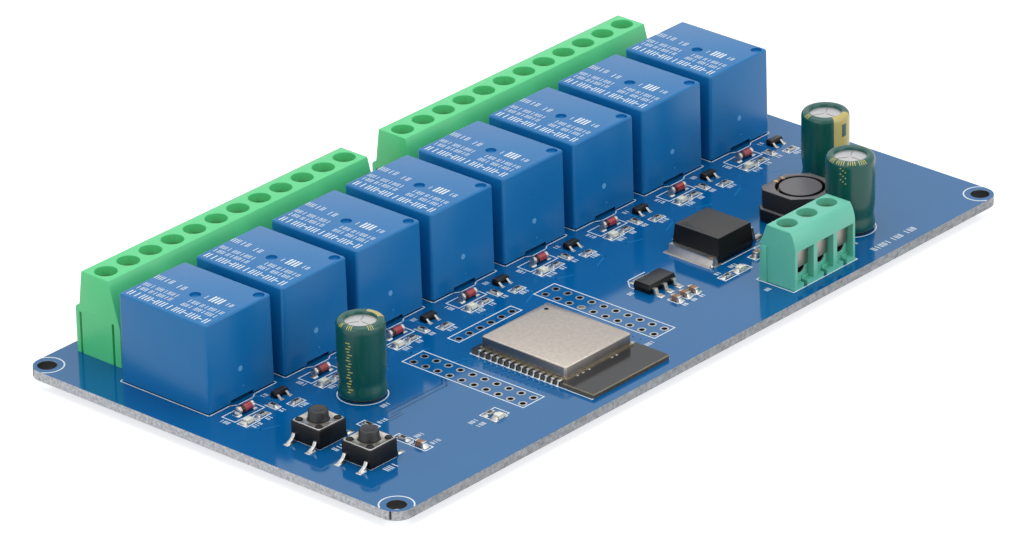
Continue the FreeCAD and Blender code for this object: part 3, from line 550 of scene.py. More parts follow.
begin("board_printing", "white_ink")
corner_holes = [(x, y) for x in (0, hole_spans[0]) for y in (0, hole_spans[1])]
for x, y in corner_holes:
    hoop(x, y, 2.85, 0.24, 160)
pick("FACE", past_corner)
bpy.ops.mesh.delete(type="FACE")
for middle in relay_middles:
    m = middle - first
    left, right, rear, front = m + 3.27, m + 18.5, 61.65, 42.3
    stroke((m + 7.9, front), (left, front), (left, rear), (right, rear), (right, front), (m + 13.5, front),
           (m + 12.4, 41.6), (m + 9.0, 41.6), (m + 7.9, front))
    for x0, y0, x1, y1 in ((4.3, 37.7, 11.1, 40.75), (4.15, 35.2, 7.4, 37.3), (7.5, 35.45, 10.2, 37.2),
                           (11.45, 35.9, 12.9, 38.4), (14.0, 34.4, 16.9, 36.1)):
        outline(m + x0, y0, m + x1, y1)
    for x, y, count in ((5.0, 34.1, 3), (8.3, 34.3, 2), (11.6, 34.6, 2), (13.4, 40.2, 2), (14.6, 33.3, 3)):
        bars(m + x, y, count)
    bars(m + 3.9, 38.2, 3, along="Y")
for corners in ((36.2, 6.5, 41.3, 32.1), (67.5, 6.5, 72.7, 32.1), (46.9, 29.5, 62.1, 32.1),
                (45.1, 0.1, 63.7, 25.7), (5.75, 21.15, 11.55, 27.05), (5.75, 10.55, 11.55, 16.45),
                (15.7, 19.4, 17.7, 22.9), (15.7, 12.1, 17.7, 15.7), (15.7, 8.4, 17.7, 12.0),
                (94.2, -0.05, 110.5, 7.95), (79.4, 11.7, 81.2, 14.1), (81.6, 11.7, 83.4, 14.1),
                (83.6, 11.7, 85.4, 14.1), (90.6, 11.2, 97.4, 13.1), (99.6, 12.3, 102.4, 14.3),
                (30.0, 7.0, 33.7, 10.2), (102.8, 11.2, 110.0, 15.6)):
    outline(*corners)
for x, y, count in ((64.9, 5.6, 3), (18.3, 20.0, 3), (18.3, 12.4, 3), (18.3, 9.0, 3), (22.6, 23.4, 3),
                    (113.3, 3.6, 3), (126.4, 17.0, 3), (92.0, 3.6, 2), (97.2, 27.2, 2), (76.9, 19.6, 2),
                    (91.4, 13.6, 2), (94.9, 13.6, 3), (27.0, 9.0, 3), (27.0, 7.4, 3)):
    bars(x, y, count)
for x, y, count, height in ((7.2, 18.9, 4, 1.3), (7.2, 8.3, 3, 1.3), (114.6, -0.4, 5, 1.25),
                            (119.6, -0.4, 3, 1.25), (123.0, -0.4, 3, 1.25)):
    bars(x, y, count, height, weight=0.2)
for x in (79.6, 81.8, 83.8):
    bars(x, 10.4, 2, 0.8)
for x, y, radius in ((24.12, 29.17, 4.13), (129.76, 22.5, 4.2), (119.2, 8.5, 4.22)):
    hoop(x, y, radius)
for points in (((95, 15.7), (103.5, 15.7)), ((95, 26.5), (103.5, 26.5)), ((122.0, 12.4), (122.0, 22.3)),
               ((79.2, 18.0), (79.2, 21.7), (80.8, 23.5), (84.9, 23.5))):
    stroke(*points)
thicken()
finish()

# %% [markdown]
# Copper tracks under the lacquer stand up a little and look lighter, and a narrow gap between two
# copper areas looks darker. Only the ones that can be seen in the open areas are drawn, as the same
# flat strokes, a little lower than the ink. The dark gap lines by the buttons come first and are
# painted darker, then the fine tracks from the wireless module and the short ones at each relay.

# %% Tracks under the lacquer
pin_pitch = 2.54
notch_pitch = 1.27
header_y = 7.64
notch_y = 24.0
track_level = 0.004
begin("board_tracks", "track_lacquer", "gap_lacquer")
for width, *points in ((0.22, (21.8, 21.95), (34.5, 21.95), (35.9, 23.3)),
                       (0.22, (21.8, 20.95), (34.5, 20.95), (36.1, 22.6)),
                       (0.2, (19.8, 20.3), (23.0, 20.3)), (0.2, (19.8, 19.6), (23.0, 19.6))):
    stroke(*points, width=width, z=track_level)
bpy.ops.mesh.select_all(action="SELECT")
paint(1)
for row in range(9):
    y = 8.2 + 1.2 * notch_pitch * row
    stroke((64.4, y), (66.0, y), (67.7, header_y + pin_pitch * row), width=0.25, z=track_level)
for index in range(14):
    y = notch_y - notch_pitch * index
    stroke((45.0, y), (44.2, y), (42.6, y + 1.5), (41.4, y + 1.5), width=0.22, z=track_level)
for m in relay_middles:
    stroke((m + 2.8, 38.1), (m + 2.8, 40.6), (m + 1.6, 41.8), width=0.4, z=track_level)
    stroke((m - 5.9, 34.9), (m - 5.9, 33.0), (m - 3.0, 31.8), width=0.3, z=track_level)
    stroke((m + 5.5, 34.4), (m + 5.5, 32.4), (m + 2.0, 31.0), width=0.3, z=track_level)
thicken(0.01)
finish()

# %% [markdown]
# The header holes are left open, so their plated pads are bare: a thin bright ring on both faces and a
# barrel between them, painted dark as painted shade, as it looks dark from above. One is turned as a
# closed ring, so that it has its hole, and copied to all 46 places in the same mesh. It also hides the
# flat sides of the drilled holes. One hole of the right header is filled with solder. The four mounting
# holes are not plated and look dark inside, so each gets a thin liner painted dark as painted shade.
# Two corners have a dark mark on their edge.

# %% Plated header holes
header_places = [(x, header_y + pin_pitch * row) for x in (37.35, 39.89, 68.71, 71.25) for row in range(10)]
header_places += [(47.95 + pin_pitch * index, 30.5) for index in range(6)]
begin("header_pads", "tin", "dark_hollow", "copper")
turn([(0.48, -1.63), (0.74, -1.63), (0.74, -1.6), (0.52, -1.6), (0.52, 0), (0.74, 0), (0.74, 0.03),
      (0.48, 0.03)], 20, header_places[0], closed=True)
repeat(header_places)
# The barrel's wall is painted dark: painted shade inside the hole.
paint(1, lambda place, way: abs(way.z) < 0.5 and -1.5 < place.z < -0.1)
turn([(0.5, -1.0), (0.5, -0.06), (0.3, 0.0)], 20, (68.71, 22.88))
paint(2)
finish()
begin("mounting_hole_walls", "dark_hollow")
# The liner is painted dark: painted shade inside the mounting holes. The two edge marks below are the
# board's own.
turn([(1.59, -1.58), (1.62, -1.58), (1.62, -0.04), (1.59, -0.04)], 40, (0, 0), closed=True)
repeat(corner_holes)
for y, angle in ((0.5, 0.424), (74.0, -0.545)):
    stack(*[(z, -2.5 - out, -2.4, y - 0.14 - out, y + 0.14 + out)
            for z, out in ((-1.4, 0.01), (-1.3, 0.03), (-0.1, 0.03), (-0.02, 0.01))])
    swing(angle, 0.5, y)
finish()

# %% [markdown]
# A relay is a blue box of moulded plastic: its walls lean in slightly so that it leaves the mould, all
# edges are rounded, and the lid shows two shallow round marks of the mould's pins. The front wall has
# a low notch, whose inner faces are painted dark as painted shade, where the dark inside shows. The box
# is a rectangle extruded through two sections, whose edges are then bevelled, and the notch and the two
# marks are cut out with one cutter. It is modelled once and copied seven times.

# %% Relay case
lid, half_width, depth = 15.35, 7.55, 18.9
case = begin("relay_1", "relay_blue", "dark_hollow")
rise(first - half_width, first + half_width, relay_front, relay_front + depth, (0.25, 0), (lid, 0.12))
round_edges(0.5, upright)
round_edges(0.35, top_above(15), kind="FACE")
pick("FACE", lambda place, way: way.z < -0.99)
bpy.ops.mesh.inset(thickness=0.9 * MM, depth=0)
bpy.ops.mesh.extrude_region()
bpy.ops.transform.translate(value=(0, 0, 1.25 * MM))
outward()
begin()
add_box((first - 2.5, relay_front - 1, 0), (first + 2.5, relay_front + 0.95, 0.7))
for x, y in ((first - 0.2, 51.6), (first + 5.95, 43.85)):
    turn([(0.9, -0.4), (1.0, 0.5)], 32, (x, y, lid))
cut(case)
# The notch's inner faces are painted dark: painted shade of the hollow inside.
paint(1, lambda place, way: relay_front + 0.1 < place.y < relay_front + 0.85 and 0.27 < place.z < 0.71
      and abs(place.x - first) < 2.6)
finish(("relay_case_1",), angle=30)
for number in range(2, 9):
    only(case)
    bpy.ops.object.duplicate(linked=False)
    copy = bpy.context.object
    copy.name = copy.data.name = "relay_%d" % number
    bpy.ops.transform.translate(value=(relay_pitch * (number - 1) * MM, 0, 0))
    bpy.ops.object.transform_apply(location=True, rotation=False, scale=False)
    finish(("relay_case_%d" % number,), angle=30)

# %% [markdown]
# Each lid is printed. The real print names the maker and the type, so rows of short bars take its
# place, in the same three lines and the same ink. The moulding also has a small gate scar on its
# front wall, where the plastic entered, which is paler than the rest.

# %% Marks on the relays
relay_places = [(m, 0) for m in relay_middles]
on_lid = lid + 0.01
begin("relay_legends", "white_ink")
for y, count in ((43.4, 1), (45.5, 2), (48.7, 5), (55.6, 4)):
    bars(first - 5.1, y, count, 1.6, "Y", on_lid, 0.22, 0.8)
for y in (45.1, 48.2, 55.1):
    stroke((first - 5.9, y - 0.25), (first - 5.9, y + 0.25), width=0.22, z=on_lid)
for x in (first - 3.3, first - 1.8):
    for y, count in ((43.6, 6), (48.8, 3), (53.2, 6), (58.4, 3)):
        bars(x, y, count, 1.1, "Y", on_lid, 0.13, 0.74)
for x, y, count, height, weight in ((1.0, 44.2, 2, 1.1, 0.14), (1.4, 46.3, 2, 1.9, 0.34),
                                    (0.8, 49.3, 1, 1.1, 0.14), (1.0, 54.2, 2, 1.4, 0.16),
                                    (1.4, 57.2, 4, 1.4, 0.16)):
    bars(first + x, y, count, height, "Y", on_lid, weight)
repeat(relay_places, whole=True)
thicken(0.01)
finish()
begin("relay_gate_scars", "relay_mark")
turn([(0.5, 0.06), (0.46, -0.04)], 16, (first - 0.1, 42.56, 5.35), "Y")
turn([(0.16, 0.06), (0.13, -0.04)], 12, (first + 0.4, 42.55, 2.2), "Y")
repeat(relay_places, whole=True)
finish()

# %% [markdown]
# The screw terminals are the board's most shaped mouldings. Each long block holds twelve poles: a
# rectangular wire entry on the outside, a round well above it for the screwdriver, and a sloping
# back. The outline is extruded upwards through sections, then the entries and the wells are cut by
# two joined cutters, one after the other, because they overlap. A chamfer round each well's mouth is
# part of its cutter, so no bevel has to find its way round twelve circles. The ends have narrow slots,
# with which blocks are keyed together. The short supply block is of another make and a bluer green.
# It faces the near edge, and each of its entries has a stepped sill.

# %% Terminal housings
def drill_block(block, xs, well_y, entry_ends, entry_top, top, radius, half=1.95):
    """Cuts the wire entries and the screw wells of one row of poles."""
    places = [(x, well_y) for x in xs]
    begin()
    add_box((xs[0] - half, entry_ends[0], 1.3), (xs[0] + half, entry_ends[1], entry_top))
    repeat(places)
    cut(block)
    begin()
    turn([(radius, entry_top - 1 - top), (radius, -0.06), (radius + 0.09, 0.03), (radius + 0.09, 0.5)], 32,
         (xs[0], well_y, top))
    repeat(places)
    cut(block)


well_y = 69.65
block_top, poles, pole_pitch = 14.5, 12, 5
rear_xs = []
for side, middle in (("left", 36.68), ("right", 105.72)):
    block = begin("terminals_" + side, "terminal_green")
    x0, x1 = (middle + side_way * poles * pole_pitch / 2 for side_way in (-1, 1))
    stack((0, x0, x1, 64.6, 74.4), (6.65, x0, x1, 64.6, 74.4), (8.0, x0, x1, 64.98, 74.4),
          (8.6, x0, x1, 65.15, 73.5), (block_top, x0, x1, 66.8, 72.7))
    round_edges(0.14, lambda place, way: (place.z > 14.4 or abs(way.x) < 0.5) and place.z > 0.1
                or abs(way.x) > 0.5 and 7 < place.z < 14, segments=2)
    xs = [middle + pole_pitch * (index - (poles - 1) / 2) for index in range(poles)]
    rear_xs += xs
    drill_block(block, xs, well_y, (66.45, 75.4), 7.2, block_top, 1.88)
    begin()
    for x in (x0, x1):
        for y in (73.3, 66.15):
            add_box((x - 0.9, y - 0.24, -0.1), (x + 0.9, y + 0.24, 7.2))
    cut(block)
    finish(("terminal_block_" + side,), angle=30)

supply_xs = [102.37 + pole_pitch * index for index in (-1, 0, 1)]
supply_y, supply_top = 4.0, 10.1
block = begin("supply_terminals", "supply_green")
x0, x1 = 94.74, 110.0
stack(*[(z, x0, x1, near, far) for z, near, far in (
    (0, 0.15, 7.75), (6.7, 0.15, 7.5), (7.0, 0.15, 7.35), (7.3, 0.16, 7.2), (7.9, 0.24, 6.96),
    (8.6, 0.44, 6.69), (9.2, 0.67, 6.45), (9.7, 0.93, 6.26), (supply_top, 1.25, 6.1))])
round_edges(0.12, lambda place, way: abs(way.x) < 0.5 and place.z > 0.1 or place.z > 10, segments=2)
drill_block(block, supply_xs, supply_y, (-1.0, 6.5), 6.7, supply_top, 1.72, 2.03)
for half, depth, low, high in ((2.02, 1.25, 0.85, 1.4), (0.42, 1.4, -0.5, 1.6)):
    begin()
    for x in supply_xs:
        add_box((x - half, -1, low), (x + half, depth, high))
    cut(block)
begin()
add_box((x1 - 0.4, 5.7, -0.5), (x1 + 0.4, 7.1, 6.4))
cut(block)
finish(("supply_terminal_block",), angle=30)
begin("supply_rib", "supply_green")
stack((0.02, x0 - 0.3, x0 + 0.1, 5.9, 7.1), (6.3, x0 - 0.3, x0 + 0.1, 6.0, 7.0))
finish(bevel=0.06)

# %% [markdown]
# In every well sits a slotted screw of yellowish zinc. It is turned with a chamfered head, slotted with
# a cutter and copied to every pole. The front clamps can be seen through their wide entries: a
# thick plate, and below it a round guide in the plastic for the wire, with a thin metal rim. The inside
# of each guide is painted dark as painted shade.

# %% Terminal screws and clamps
def make_screws(name, xs, y, seat, top, radius, node):
    """Slotted screws, modelled once and copied to every pole."""
    screws = begin(name, "zinc_plate")
    height = top - seat
    turn([(radius - 0.1, 0), (radius, 0.1), (radius, height - 0.12), (radius - 0.12, height)], 28,
         (xs[0], y, seat))
    begin()
    add_box((xs[0] - 2, y - 0.3, top - 0.7), (xs[0] + 2, y + 0.3, top + 1))
    cut(screws)
    repeat([(x, y) for x in xs], whole=True)
    finish((node,), angle=30)


make_screws("rear_screws", rear_xs, well_y, 7.1, 12.95, 1.84, "terminal_screws")
make_screws("front_screws", supply_xs, supply_y, 6.6, 8.8, 1.66, "supply_screws")
x = supply_xs[0]
guide_z = 3.2
guides = begin("wire_guides", "supply_green", "dark_hollow", "tin")
add_box((x - 1.98, 1.5, 0.9), (x + 1.98, 6.3, 2.95))
begin()
turn([(1.16, 1.0), (1.16, 5.5)], 40, (x, 0, guide_z), "Y")
cut(guides)
# The guide's bore is painted dark: painted shade inside it.
paint(1, lambda place, way: place.y > 1.55 and math.hypot(place.x - x, place.z - guide_z) < 1.2)
turn([(1.08, 0), (1.2, 0), (1.2, 0.2), (1.08, 0.2)], 40, (x, 1.36, guide_z), "Y", closed=True)
paint(2)
repeat([(pole, supply_y) for pole in supply_xs], whole=True)
finish()
begin("front_clamps", "steel")
stack((3.0, -1.9, 1.9, 1.34, 6.3), (6.55, -1.9, 1.9, 1.3, 6.3), at=(x, 0))
repeat([(pole, supply_y) for pole in supply_xs])
finish(("supply_clamps",), bevel=0.16)

# %% [markdown]
# A radial capacitor is an aluminium can in a shrunk plastic sleeve. The can is rolled in near its foot,
# and the sleeve wraps over the top edge and leaves a bare metal disc. It is turned in one go with 48
# sides, so that the strip of faces on one side can be painted gold for the negative lead, with tall
# green windows in it. The bare disc lies a little lower than the rolled edge and is painted too. Three
# grooves are cut into it, along which it would open under pressure. Small gold bars on the rim and
# down the side stand for print.

# %% Capacitors
capacitor_places = [(24.1, 29.15, -0.1, 3.93), (129.76, 22.5, -1.59, 4.0), (119.13, 8.6, 0.9, 4.06)]
wall_marks = {1: [(-2.95 + 0.08 * (step % 3 == 1), 10.4 - 0.5 * step, 0.8 - 0.3 * (step % 2), 0.15)
                  for step in range(18)],
              2: [], 3: [(-2.86 + 0.1 * (step % 3), 12.1 - 0.33 * step, 0.22, 0.18) for step in range(9)]}
rim_marks = {1: (-3.42, -3.32, -3.0, -2.9, -2.8, -2.05, -1.95, -1.85), 2: (-3.5, -3.4, -3.3),
             3: [-3.46 + 0.1 * step for step in range(18) if step % 5 != 3]}
can_outline = [(-0.5, 0.5), (-0.13, 0.55), (-0.02, 0.8), (-0.02, 1.4), (-0.09, 1.9), (-0.2, 2.5),
               (-0.24, 2.9), (-0.18, 3.4), (-0.08, 4.1), (0, 5.2), (0, 7.4), (0, 9.6), (0, 11.8), (0, 12.4),
               (-0.08, 12.75), (-0.28, 13.0), (-0.55, 13.13), (-0.9, 13.15), (-1.2, 13.1), (-1.32, 12.98),
               (-1.37, 12.8), (-1.4, 12.6)]


def off_stripe(place):
    """How far round the can a place is from the middle of its stripe."""
    return abs((math.atan2(place.y - y, place.x - x) - stripe + math.pi) % (2 * math.pi) - math.pi)


def off_middle(place):
    """How far a place is from the can's middle."""
    return math.hypot(place.x - x, place.y - y)


for number, (x, y, stripe, full) in enumerate(capacitor_places, 1):
    can = begin("capacitor_%d_can" % number, "sleeve_green", "sleeve_gold", "print_gold", "aluminium")
    turn([(full + inward, height) for inward, height in can_outline], 48, (x, y))
    begin()
    for angle in (0.5, 2.59, 4.7):
        add_box((x + 0.25, y - 0.09, 12.45), (x + 2.35, y + 0.09, 13.5))
        swing(angle, x, y)
    cut(can)
    stripe_top = 12.9 if number == 3 else 13.14
    paint(1, lambda place, way: off_stripe(place) < 0.52 and 2.3 < place.z < stripe_top
          and off_middle(place) > full - 1.2)
    paint(0, lambda place, way: off_stripe(place) < 0.1
          and any(low < place.z < low + 2.2 for low in (5.2, 9.6)))
    paint(3, lambda place, way: off_middle(place) < full - 1.395 and place.z > 12.4)
    for turned in rim_marks[number]:
        stack(*[(height, full - 0.9, full + inward + 0.02, -0.06, 0.06)
                for inward, height in ((-0.08, 12.76), (-0.28, 13.015), (-0.55, 13.15), (-0.7, 13.165))],
              at=(x, y))
        swing(turned, x, y)
        paint(2)
    for turned, level, width, height in wall_marks[number]:
        add_box((x + full - 0.1, y - width / 2, level), (x + full + 0.02, y + width / 2, level + height))
        swing(turned, x, y)
        paint(2)
    finish(("capacitor_%d" % number,), angle=40)

# %% [markdown]
# The shielded inductor is a square block of dark ferrite with two large and two small corner cuts. A
# drum core stands in its round bore, with a narrow gap round it, over which the two copper ends of
# the winding come up. The tops are ground flat, so they are smoother than the sides, and they are
# painted paler, partly for the grinding and partly as painted light from above. It sits on a black
# base with a tinned strip at each end, and the base's top is painted the same pale grey, as painted
# light from above.

# %% Inductor
coil_x, coil_y = 116.99, 17.35
coil_top = 5.5


def corner_block(size_x, size_y, z0, z1):
    """A box with its four corners cut, two of them deeply."""
    add_box((coil_x - size_x, coil_y - size_y, z0), (coil_x + size_x, coil_y + size_y, z1))
    for turn_x, turn_y, depth in ((-1, -1, 2.9), (1, 1, 2.9), (1, -1, 1.1), (-1, 1, 1.1)):
        bpy.ops.mesh.select_all(action="SELECT")
        spot = on_board(coil_x + turn_x * size_x, coil_y + turn_y * (size_y - depth), z0)
        bpy.ops.mesh.bisect(plane_co=spot, plane_no=(turn_x, turn_y, 0), use_fill=True, clear_outer=True)


begin("inductor_foot", "inductor_black", "ground_ferrite")
corner_block(5.6, 5.0, 0.25, 2.3)
# The base's top is painted pale grey: painted light from above.
paint(1, top_above(0))
finish(("inductor_base",), bevel=0.12)
shield = begin("inductor_sleeve", "ferrite", "ground_ferrite")
corner_block(5.0, 5.0, 2.3, coil_top)
begin()
turn([(4.1, -4), (4.1, -0.1), (4.22, 0.03), (4.22, 1)], 48, (coil_x, coil_y, coil_top))
cut(shield)
# The ground top is painted paler, partly as painted light from above.
paint(1, top_above(5.4))
finish(("inductor_shield",), bevel=0.14)
begin("inductor_drum", "ferrite", "ground_ferrite")
turn([(3.75, 2.3), (3.75, 3.0), (1.8, 3.0), (1.8, 4.8), (3.58, 4.8), (3.58, 5.42), (3.5, coil_top)], 48,
     (coil_x, coil_y))
# The drum's ground top is painted paler, partly as painted light from above.
paint(1, top_above(5.4))
finish(("inductor_core",), angle=40)
begin("inductor_wire_ends", "copper")
for x, y, angle in ((coil_x - 1.05, coil_y + 4.15, 0.24), (coil_x + 0.6, coil_y + 4.2, -0.14)):
    stack((5.3, -0.3, 0.3, -0.34, 0.5), (5.6, -0.34, 0.34, -0.34, 0.55), (5.72, -0.18, 0.18, -0.2, 0.4),
          at=(x, y))
    swing(angle, x, y)
finish(bevel=0.06)
begin("inductor_ledges", "tin")
for side in (-1, 1):
    stack(*[(z, *sorted((side * inner, side * outer)), -half, half) for z, inner, outer, half in (
        (0.0, 5.55, 6.3, 1.6), (0.2, 5.6, 6.1, 1.5), (0.9, 5.6, 5.75, 1.3))], at=(coil_x, coil_y))
finish(bevel=0.04)

# %% [markdown]
# The black packages are transfer mouldings: two halves with draught both ways that meet at the leads,
# so a fine step runs round the middle. Each is a rectangle extruded up through six sections and
# bevelled, and its top is painted greyer than its polished sides, partly as painted light from above.
# The printed types are left off. A round mark shows where the mould's pin stood.

# %% Moulded packages
def package(name, node, places, width, length, top, parting, draft, pin=0.0):
    """A moulded body at each place, with a parting line and a pin mark."""
    body = begin(name, "package_black", "package_top")
    x, y = places[0]
    x0, y1 = x - width / 2, y + length / 2
    rise(x0, x + width / 2, y - length / 2, y1, (0.02, draft * 0.6), (parting, 0.03), (parting, 0.0),
         (parting + 0.05, 0.0), (parting + 0.05, 0.03), (top, draft))
    if pin:
        begin()
        inset = 2.2 * pin + draft
        turn([(pin, -0.06), (pin + 0.02, 0.3)], 24, (x0 + inset, y1 - inset, top))
        cut(body)
    # The top faces are painted greyer, partly as painted light from above.
    paint(1, top_above(top - 0.1))
    repeat(places, whole=True)
    finish((node,), bevel=min(0.12, draft * 0.5))


package("buck_package", "buck_regulator_body", [(99.0, 20.95)], 8.7, 9.8, 4.4, 1.3, 0.3, 0.5)
package("linear_package", "linear_regulator_body", [(82.2, 19.05)], 6.5, 3.5, 1.65, 0.85, 0.22, 0.25)
package("transistor_packages", "transistor_bodies", [(m + 4.75, relay_front - 3.5) for m in relay_middles],
        2.9, 1.3, 1.0, 0.52, 0.12)

# %% [markdown]
# A soldered end is a thin tinned pad with a concave slope of solder up to the part. One helper makes it
# from a rectangle that narrows as it rises. The chip parts share another: a body, a film or lens on
# top, and two metal caps that stand a hair proud of it, each with its soldered end. One part is
# modelled along X, then copied to all its places, turned where the part lies along Y.

# %% Chip parts
def solder(x, y, way_x, way_y, width, reach=0.4, height=0.35, inside=0.2):
    """Solder that rises from the pad towards a part's end at (x, y). The pad lies on the way's side."""
    side_x, side_y = abs(way_y) * width / 2, abs(way_x) * width / 2

    def span(out, spread):
        ends_x = sorted((-way_x * inside, way_x * out))
        ends_y = sorted((-way_y * inside, way_y * out))
        return (ends_x[0] - side_x * spread, ends_x[1] + side_x * spread,
                ends_y[0] - side_y * spread, ends_y[1] + side_y * spread)

    stack((0.0, *span(reach + 0.12, 1.2)), (0.05, *span(reach + 0.1, 1.18)), (0.1, *span(reach * 0.6, 1.05)),
          (height * 0.45, *span(reach * 0.3, 0.95)), (height, *span(0.03, 0.85)), at=(x, y))


def chips(name, node, along_x, along_y, size, cap, materials, film=0.02, inset=0.06, core=1.0):
    """Chip parts that lie along X and along Y. Materials are body, top and metal."""
    half_x, half_y, height = size[0] / 2, size[1] / 2, size[2]
    x, y = along_x[0]
    level = height * core
    begin(name, *materials)
    add_box((x - half_x + 0.03, y - half_y, 0.02), (x + half_x - 0.03, y + half_y, level))
    paint(0)
    film_x, low_y, high_y = half_x - cap, half_y - inset, half_y - inset * 1.5
    stack((level, -film_x - 0.02, film_x + 0.02, -low_y, low_y),
          (level + film, 0.02 - film_x, film_x - 0.02, -high_y, high_y), at=(x, y))
    paint(1)
    for side in (-1, 1):
        ends = sorted((x + side * (half_x - cap), x + side * half_x))
        add_box((ends[0], y - half_y - 0.015, 0), (ends[1], y + half_y + 0.015, level + 0.015))
        paint(2)
        solder(x + side * half_x, y, side, 0, size[1], height=height * 0.7)
        paint(2)
    repeat(along_x, whole=True)
    if along_y:
        repeat([along_x[-1], along_y[0]])
        swing(-math.pi / 2, *along_y[0])
        repeat(along_y)
    finish((node,), bevel=0.03)


row = relay_front - 6.2
chips("resistors", "chip_resistors",
      [(m - 2.1, row) for m in relay_middles] + [(m + 4.5, relay_front - 7.3) for m in relay_middles]
      + [(31.4, 9.2), (92.0, 12.1)],
      [(16.7, 13.9), (16.7, 21.1)] + [(m + 1.25, relay_front - 5.4) for m in relay_middles],
      (1.6, 0.8, 0.45), 0.32, ("ceramic", "resistor_film", "tin"))
chips("ceramic_capacitors", "chip_capacitors",
      [(101.2, 13.3)], [(16.7, 10.3), (84.5, 12.9), (82.4, 12.9), (80.3, 12.9)],
      (1.8, 1.0, 0.88), 0.4, ("capacitor_brown", "capacitor_brown", "tin"), inset=0.02)
chips("indicator_lamps", "indicator_leds",
      [(m - 5.15, row) for m in relay_middles] + [(31.4, 7.3), (95.4, 12.1)], [],
      (2.0, 1.25, 0.75), 0.36, ("lamp_white", "lamp_lens", "tin"), film=0.42, inset=0.05, core=0.42)

# %% [markdown]
# The protection diodes are small glass cylinders that lie on their sides between two metal caps. A
# turned piece along X makes the glass and the caps in one outline, whose rings are then painted:
# reddish glass, a dark band at the cathode and tinned caps.

# %% Glass diodes
begin("glass_diodes", "diode_red", "band_black", "tin")
x, y = first - 2.85, relay_front - 3.3
turn([(0.6, -1.65), (0.71, -1.58), (0.71, -1.24), (0.65, -1.2), (0.65, -1.1), (0.65, -0.45), (0.65, 1.2),
      (0.71, 1.24), (0.71, 1.58), (0.6, 1.65)], 20, (x, y, 0.725), "X")
paint(2, lambda place, way: abs(place.x - x) > 1.21)
paint(1, lambda place, way: -1.11 < place.x - x < -0.44)
for side in (-1, 1):
    solder(x + side * 1.65, y, side, 0, 1.15, reach=0.45, height=0.55, inside=0.35)
    paint(2)
repeat(relay_places, whole=True)
finish(("clamp_diodes",), angle=45)

# %% [markdown]
# Each push button stands on four feet. Its black base carries a sheet-metal cover, held by four round
# posts that were melted over into low domes. The button comes up through a hole in the cover, which
# holds its collar from above, and has a rounded, slightly hollow tip. It is the one piece here that
# moves, so it rides on its own body. The legs are bent down and stand in solder.

# %% Push buttons
x = 8.7
for number, y in ((1, 24.1), (2, 13.5)):
    posts = [(x + a, y + b) for a, b in ((-2.1, -2.1), (2.1, -2.1), (2.1, 2.1), (-2.1, 2.1))]
    base = begin("switch_%d_housing" % number, "switch_black")
    rise(x - 3, x + 3, y - 3, y + 3, (0.05, 0.1), (0.4, 0), (3.2, 0))
    begin()
    turn([(2.3, -2.3), (2.3, 1)], 32, (x, y, 3.2))
    cut(base)
    turn([(0.6, 3.1), (0.6, 3.5), (0.54, 3.6), (0.4, 3.66), (0.2, 3.68)], 20, posts[0])
    repeat(posts)
    finish(("switch_%d_base" % number,), bevel=0.05)
    cover = begin("switch_%d_plate" % number, "cover_metal")
    add_box((x - 2.9, y - 2.9, 3.2), (x + 2.9, y + 2.9, 3.45))
    round_edges(0.35, upright)
    begin()
    turn([(1.8, 3.0), (1.8, 3.6)], 40, (x, y))
    turn([(0.64, 3.0), (0.64, 3.6)], 20, posts[0])
    repeat(posts)
    cut(cover)
    finish(("switch_%d_cover" % number,), bevel=0.04)
    begin("button_%d_cap" % number, "button_grey")
    turn([(1.94, 2.7), (2.02, 2.76), (2.02, 3.1), (1.72, 3.15), (1.7, 3.5), (1.67, 3.8), (1.56, 4.85),
          (1.51, 5.02), (1.41, 5.12), (1.24, 5.15), (1.12, 5.14), (1.02, 5.11)], 40, (x, y))
    finish(("switch_%d_button" % number,), angle=40, body="button_%d" % number)
    begin("switch_%d_legs" % number, "tin")
    for side in (-2.25, 2.25):
        stack(*[(z, x0, x1, -0.31, 0.31) for z, x0, x1 in (
            (0.1, -4.7, -3.9), (0.32, -4.5, -3.7), (0.6, -3.85, -3.5), (0.95, -3.52, -3.24),
            (1.42, -3.3, -2.95))], at=(x, y + side))
        solder(x - 4.3, y + side, -1, 0, 0.85, reach=0.75, height=0.34, inside=0.7)
    bpy.ops.mesh.select_all(action="SELECT")
    bpy.ops.mesh.duplicate()
    swing(-math.pi, x, y)
    finish(("switch_%d_leads" % number,), bevel=0.04)

# %% [markdown]
# The wireless module is a thin black board with half-round plated notches along both long edges, each
# filled with a bright foot of solder that runs out onto the main board. Where the board was broken
# from its panel, the bare laminate shows as a pale line along two edges. A shallow can of bright
# sheet metal covers its chips: the flanged foot, its sides and the rounded lid are one stack of
# rectangles, and a small round hole marks the first pin. The can's sides are painted a darker metal as
# painted shade, and the inside of the pin hole is painted dark as painted shade.

# %% Wireless module
module_x, half_board, half_can, can_top = 54.5, 9, 7.9, 2.95
begin("module_edge", "bare_laminate")
for x0, x1, y0, y1 in ((45.49, 63.5, 0.08, 0.13), (45.48, 45.53, 0.09, 6.4)):
    stack(*[(z, x0 + inset, x1, y0 + inset, y1)
            for z, inset in ((0.56, 0.01), (0.58, 0), (0.77, 0), (0.79, 0.01))])
finish()
can = begin("module_can", "shield_metal", "shield_side", "dark_hollow", "zinc_plate")
rise(module_x - half_can, module_x + half_can, 6.9, 24.5,
     (0.8, -0.25), (1.0, -0.25), (1.08, 0), (can_top, 0))
round_edges(0.35, lambda place, way: abs(way.z) > 0.5)
round_edges(0.25, top_above(2), kind="FACE")
x, y = 60.35, 22.9
begin()
turn([(0.38, -0.3), (0.4, 0.3)], 24, (x, y, can_top))
cut(can)
# The can's sides are painted a darker copy of its metal: painted shade.
paint(1, lambda place, way: abs(way.z) < 0.3 and 1.0 < place.z < 2.8 and max(abs(way.x), abs(way.y)) > 0.99)
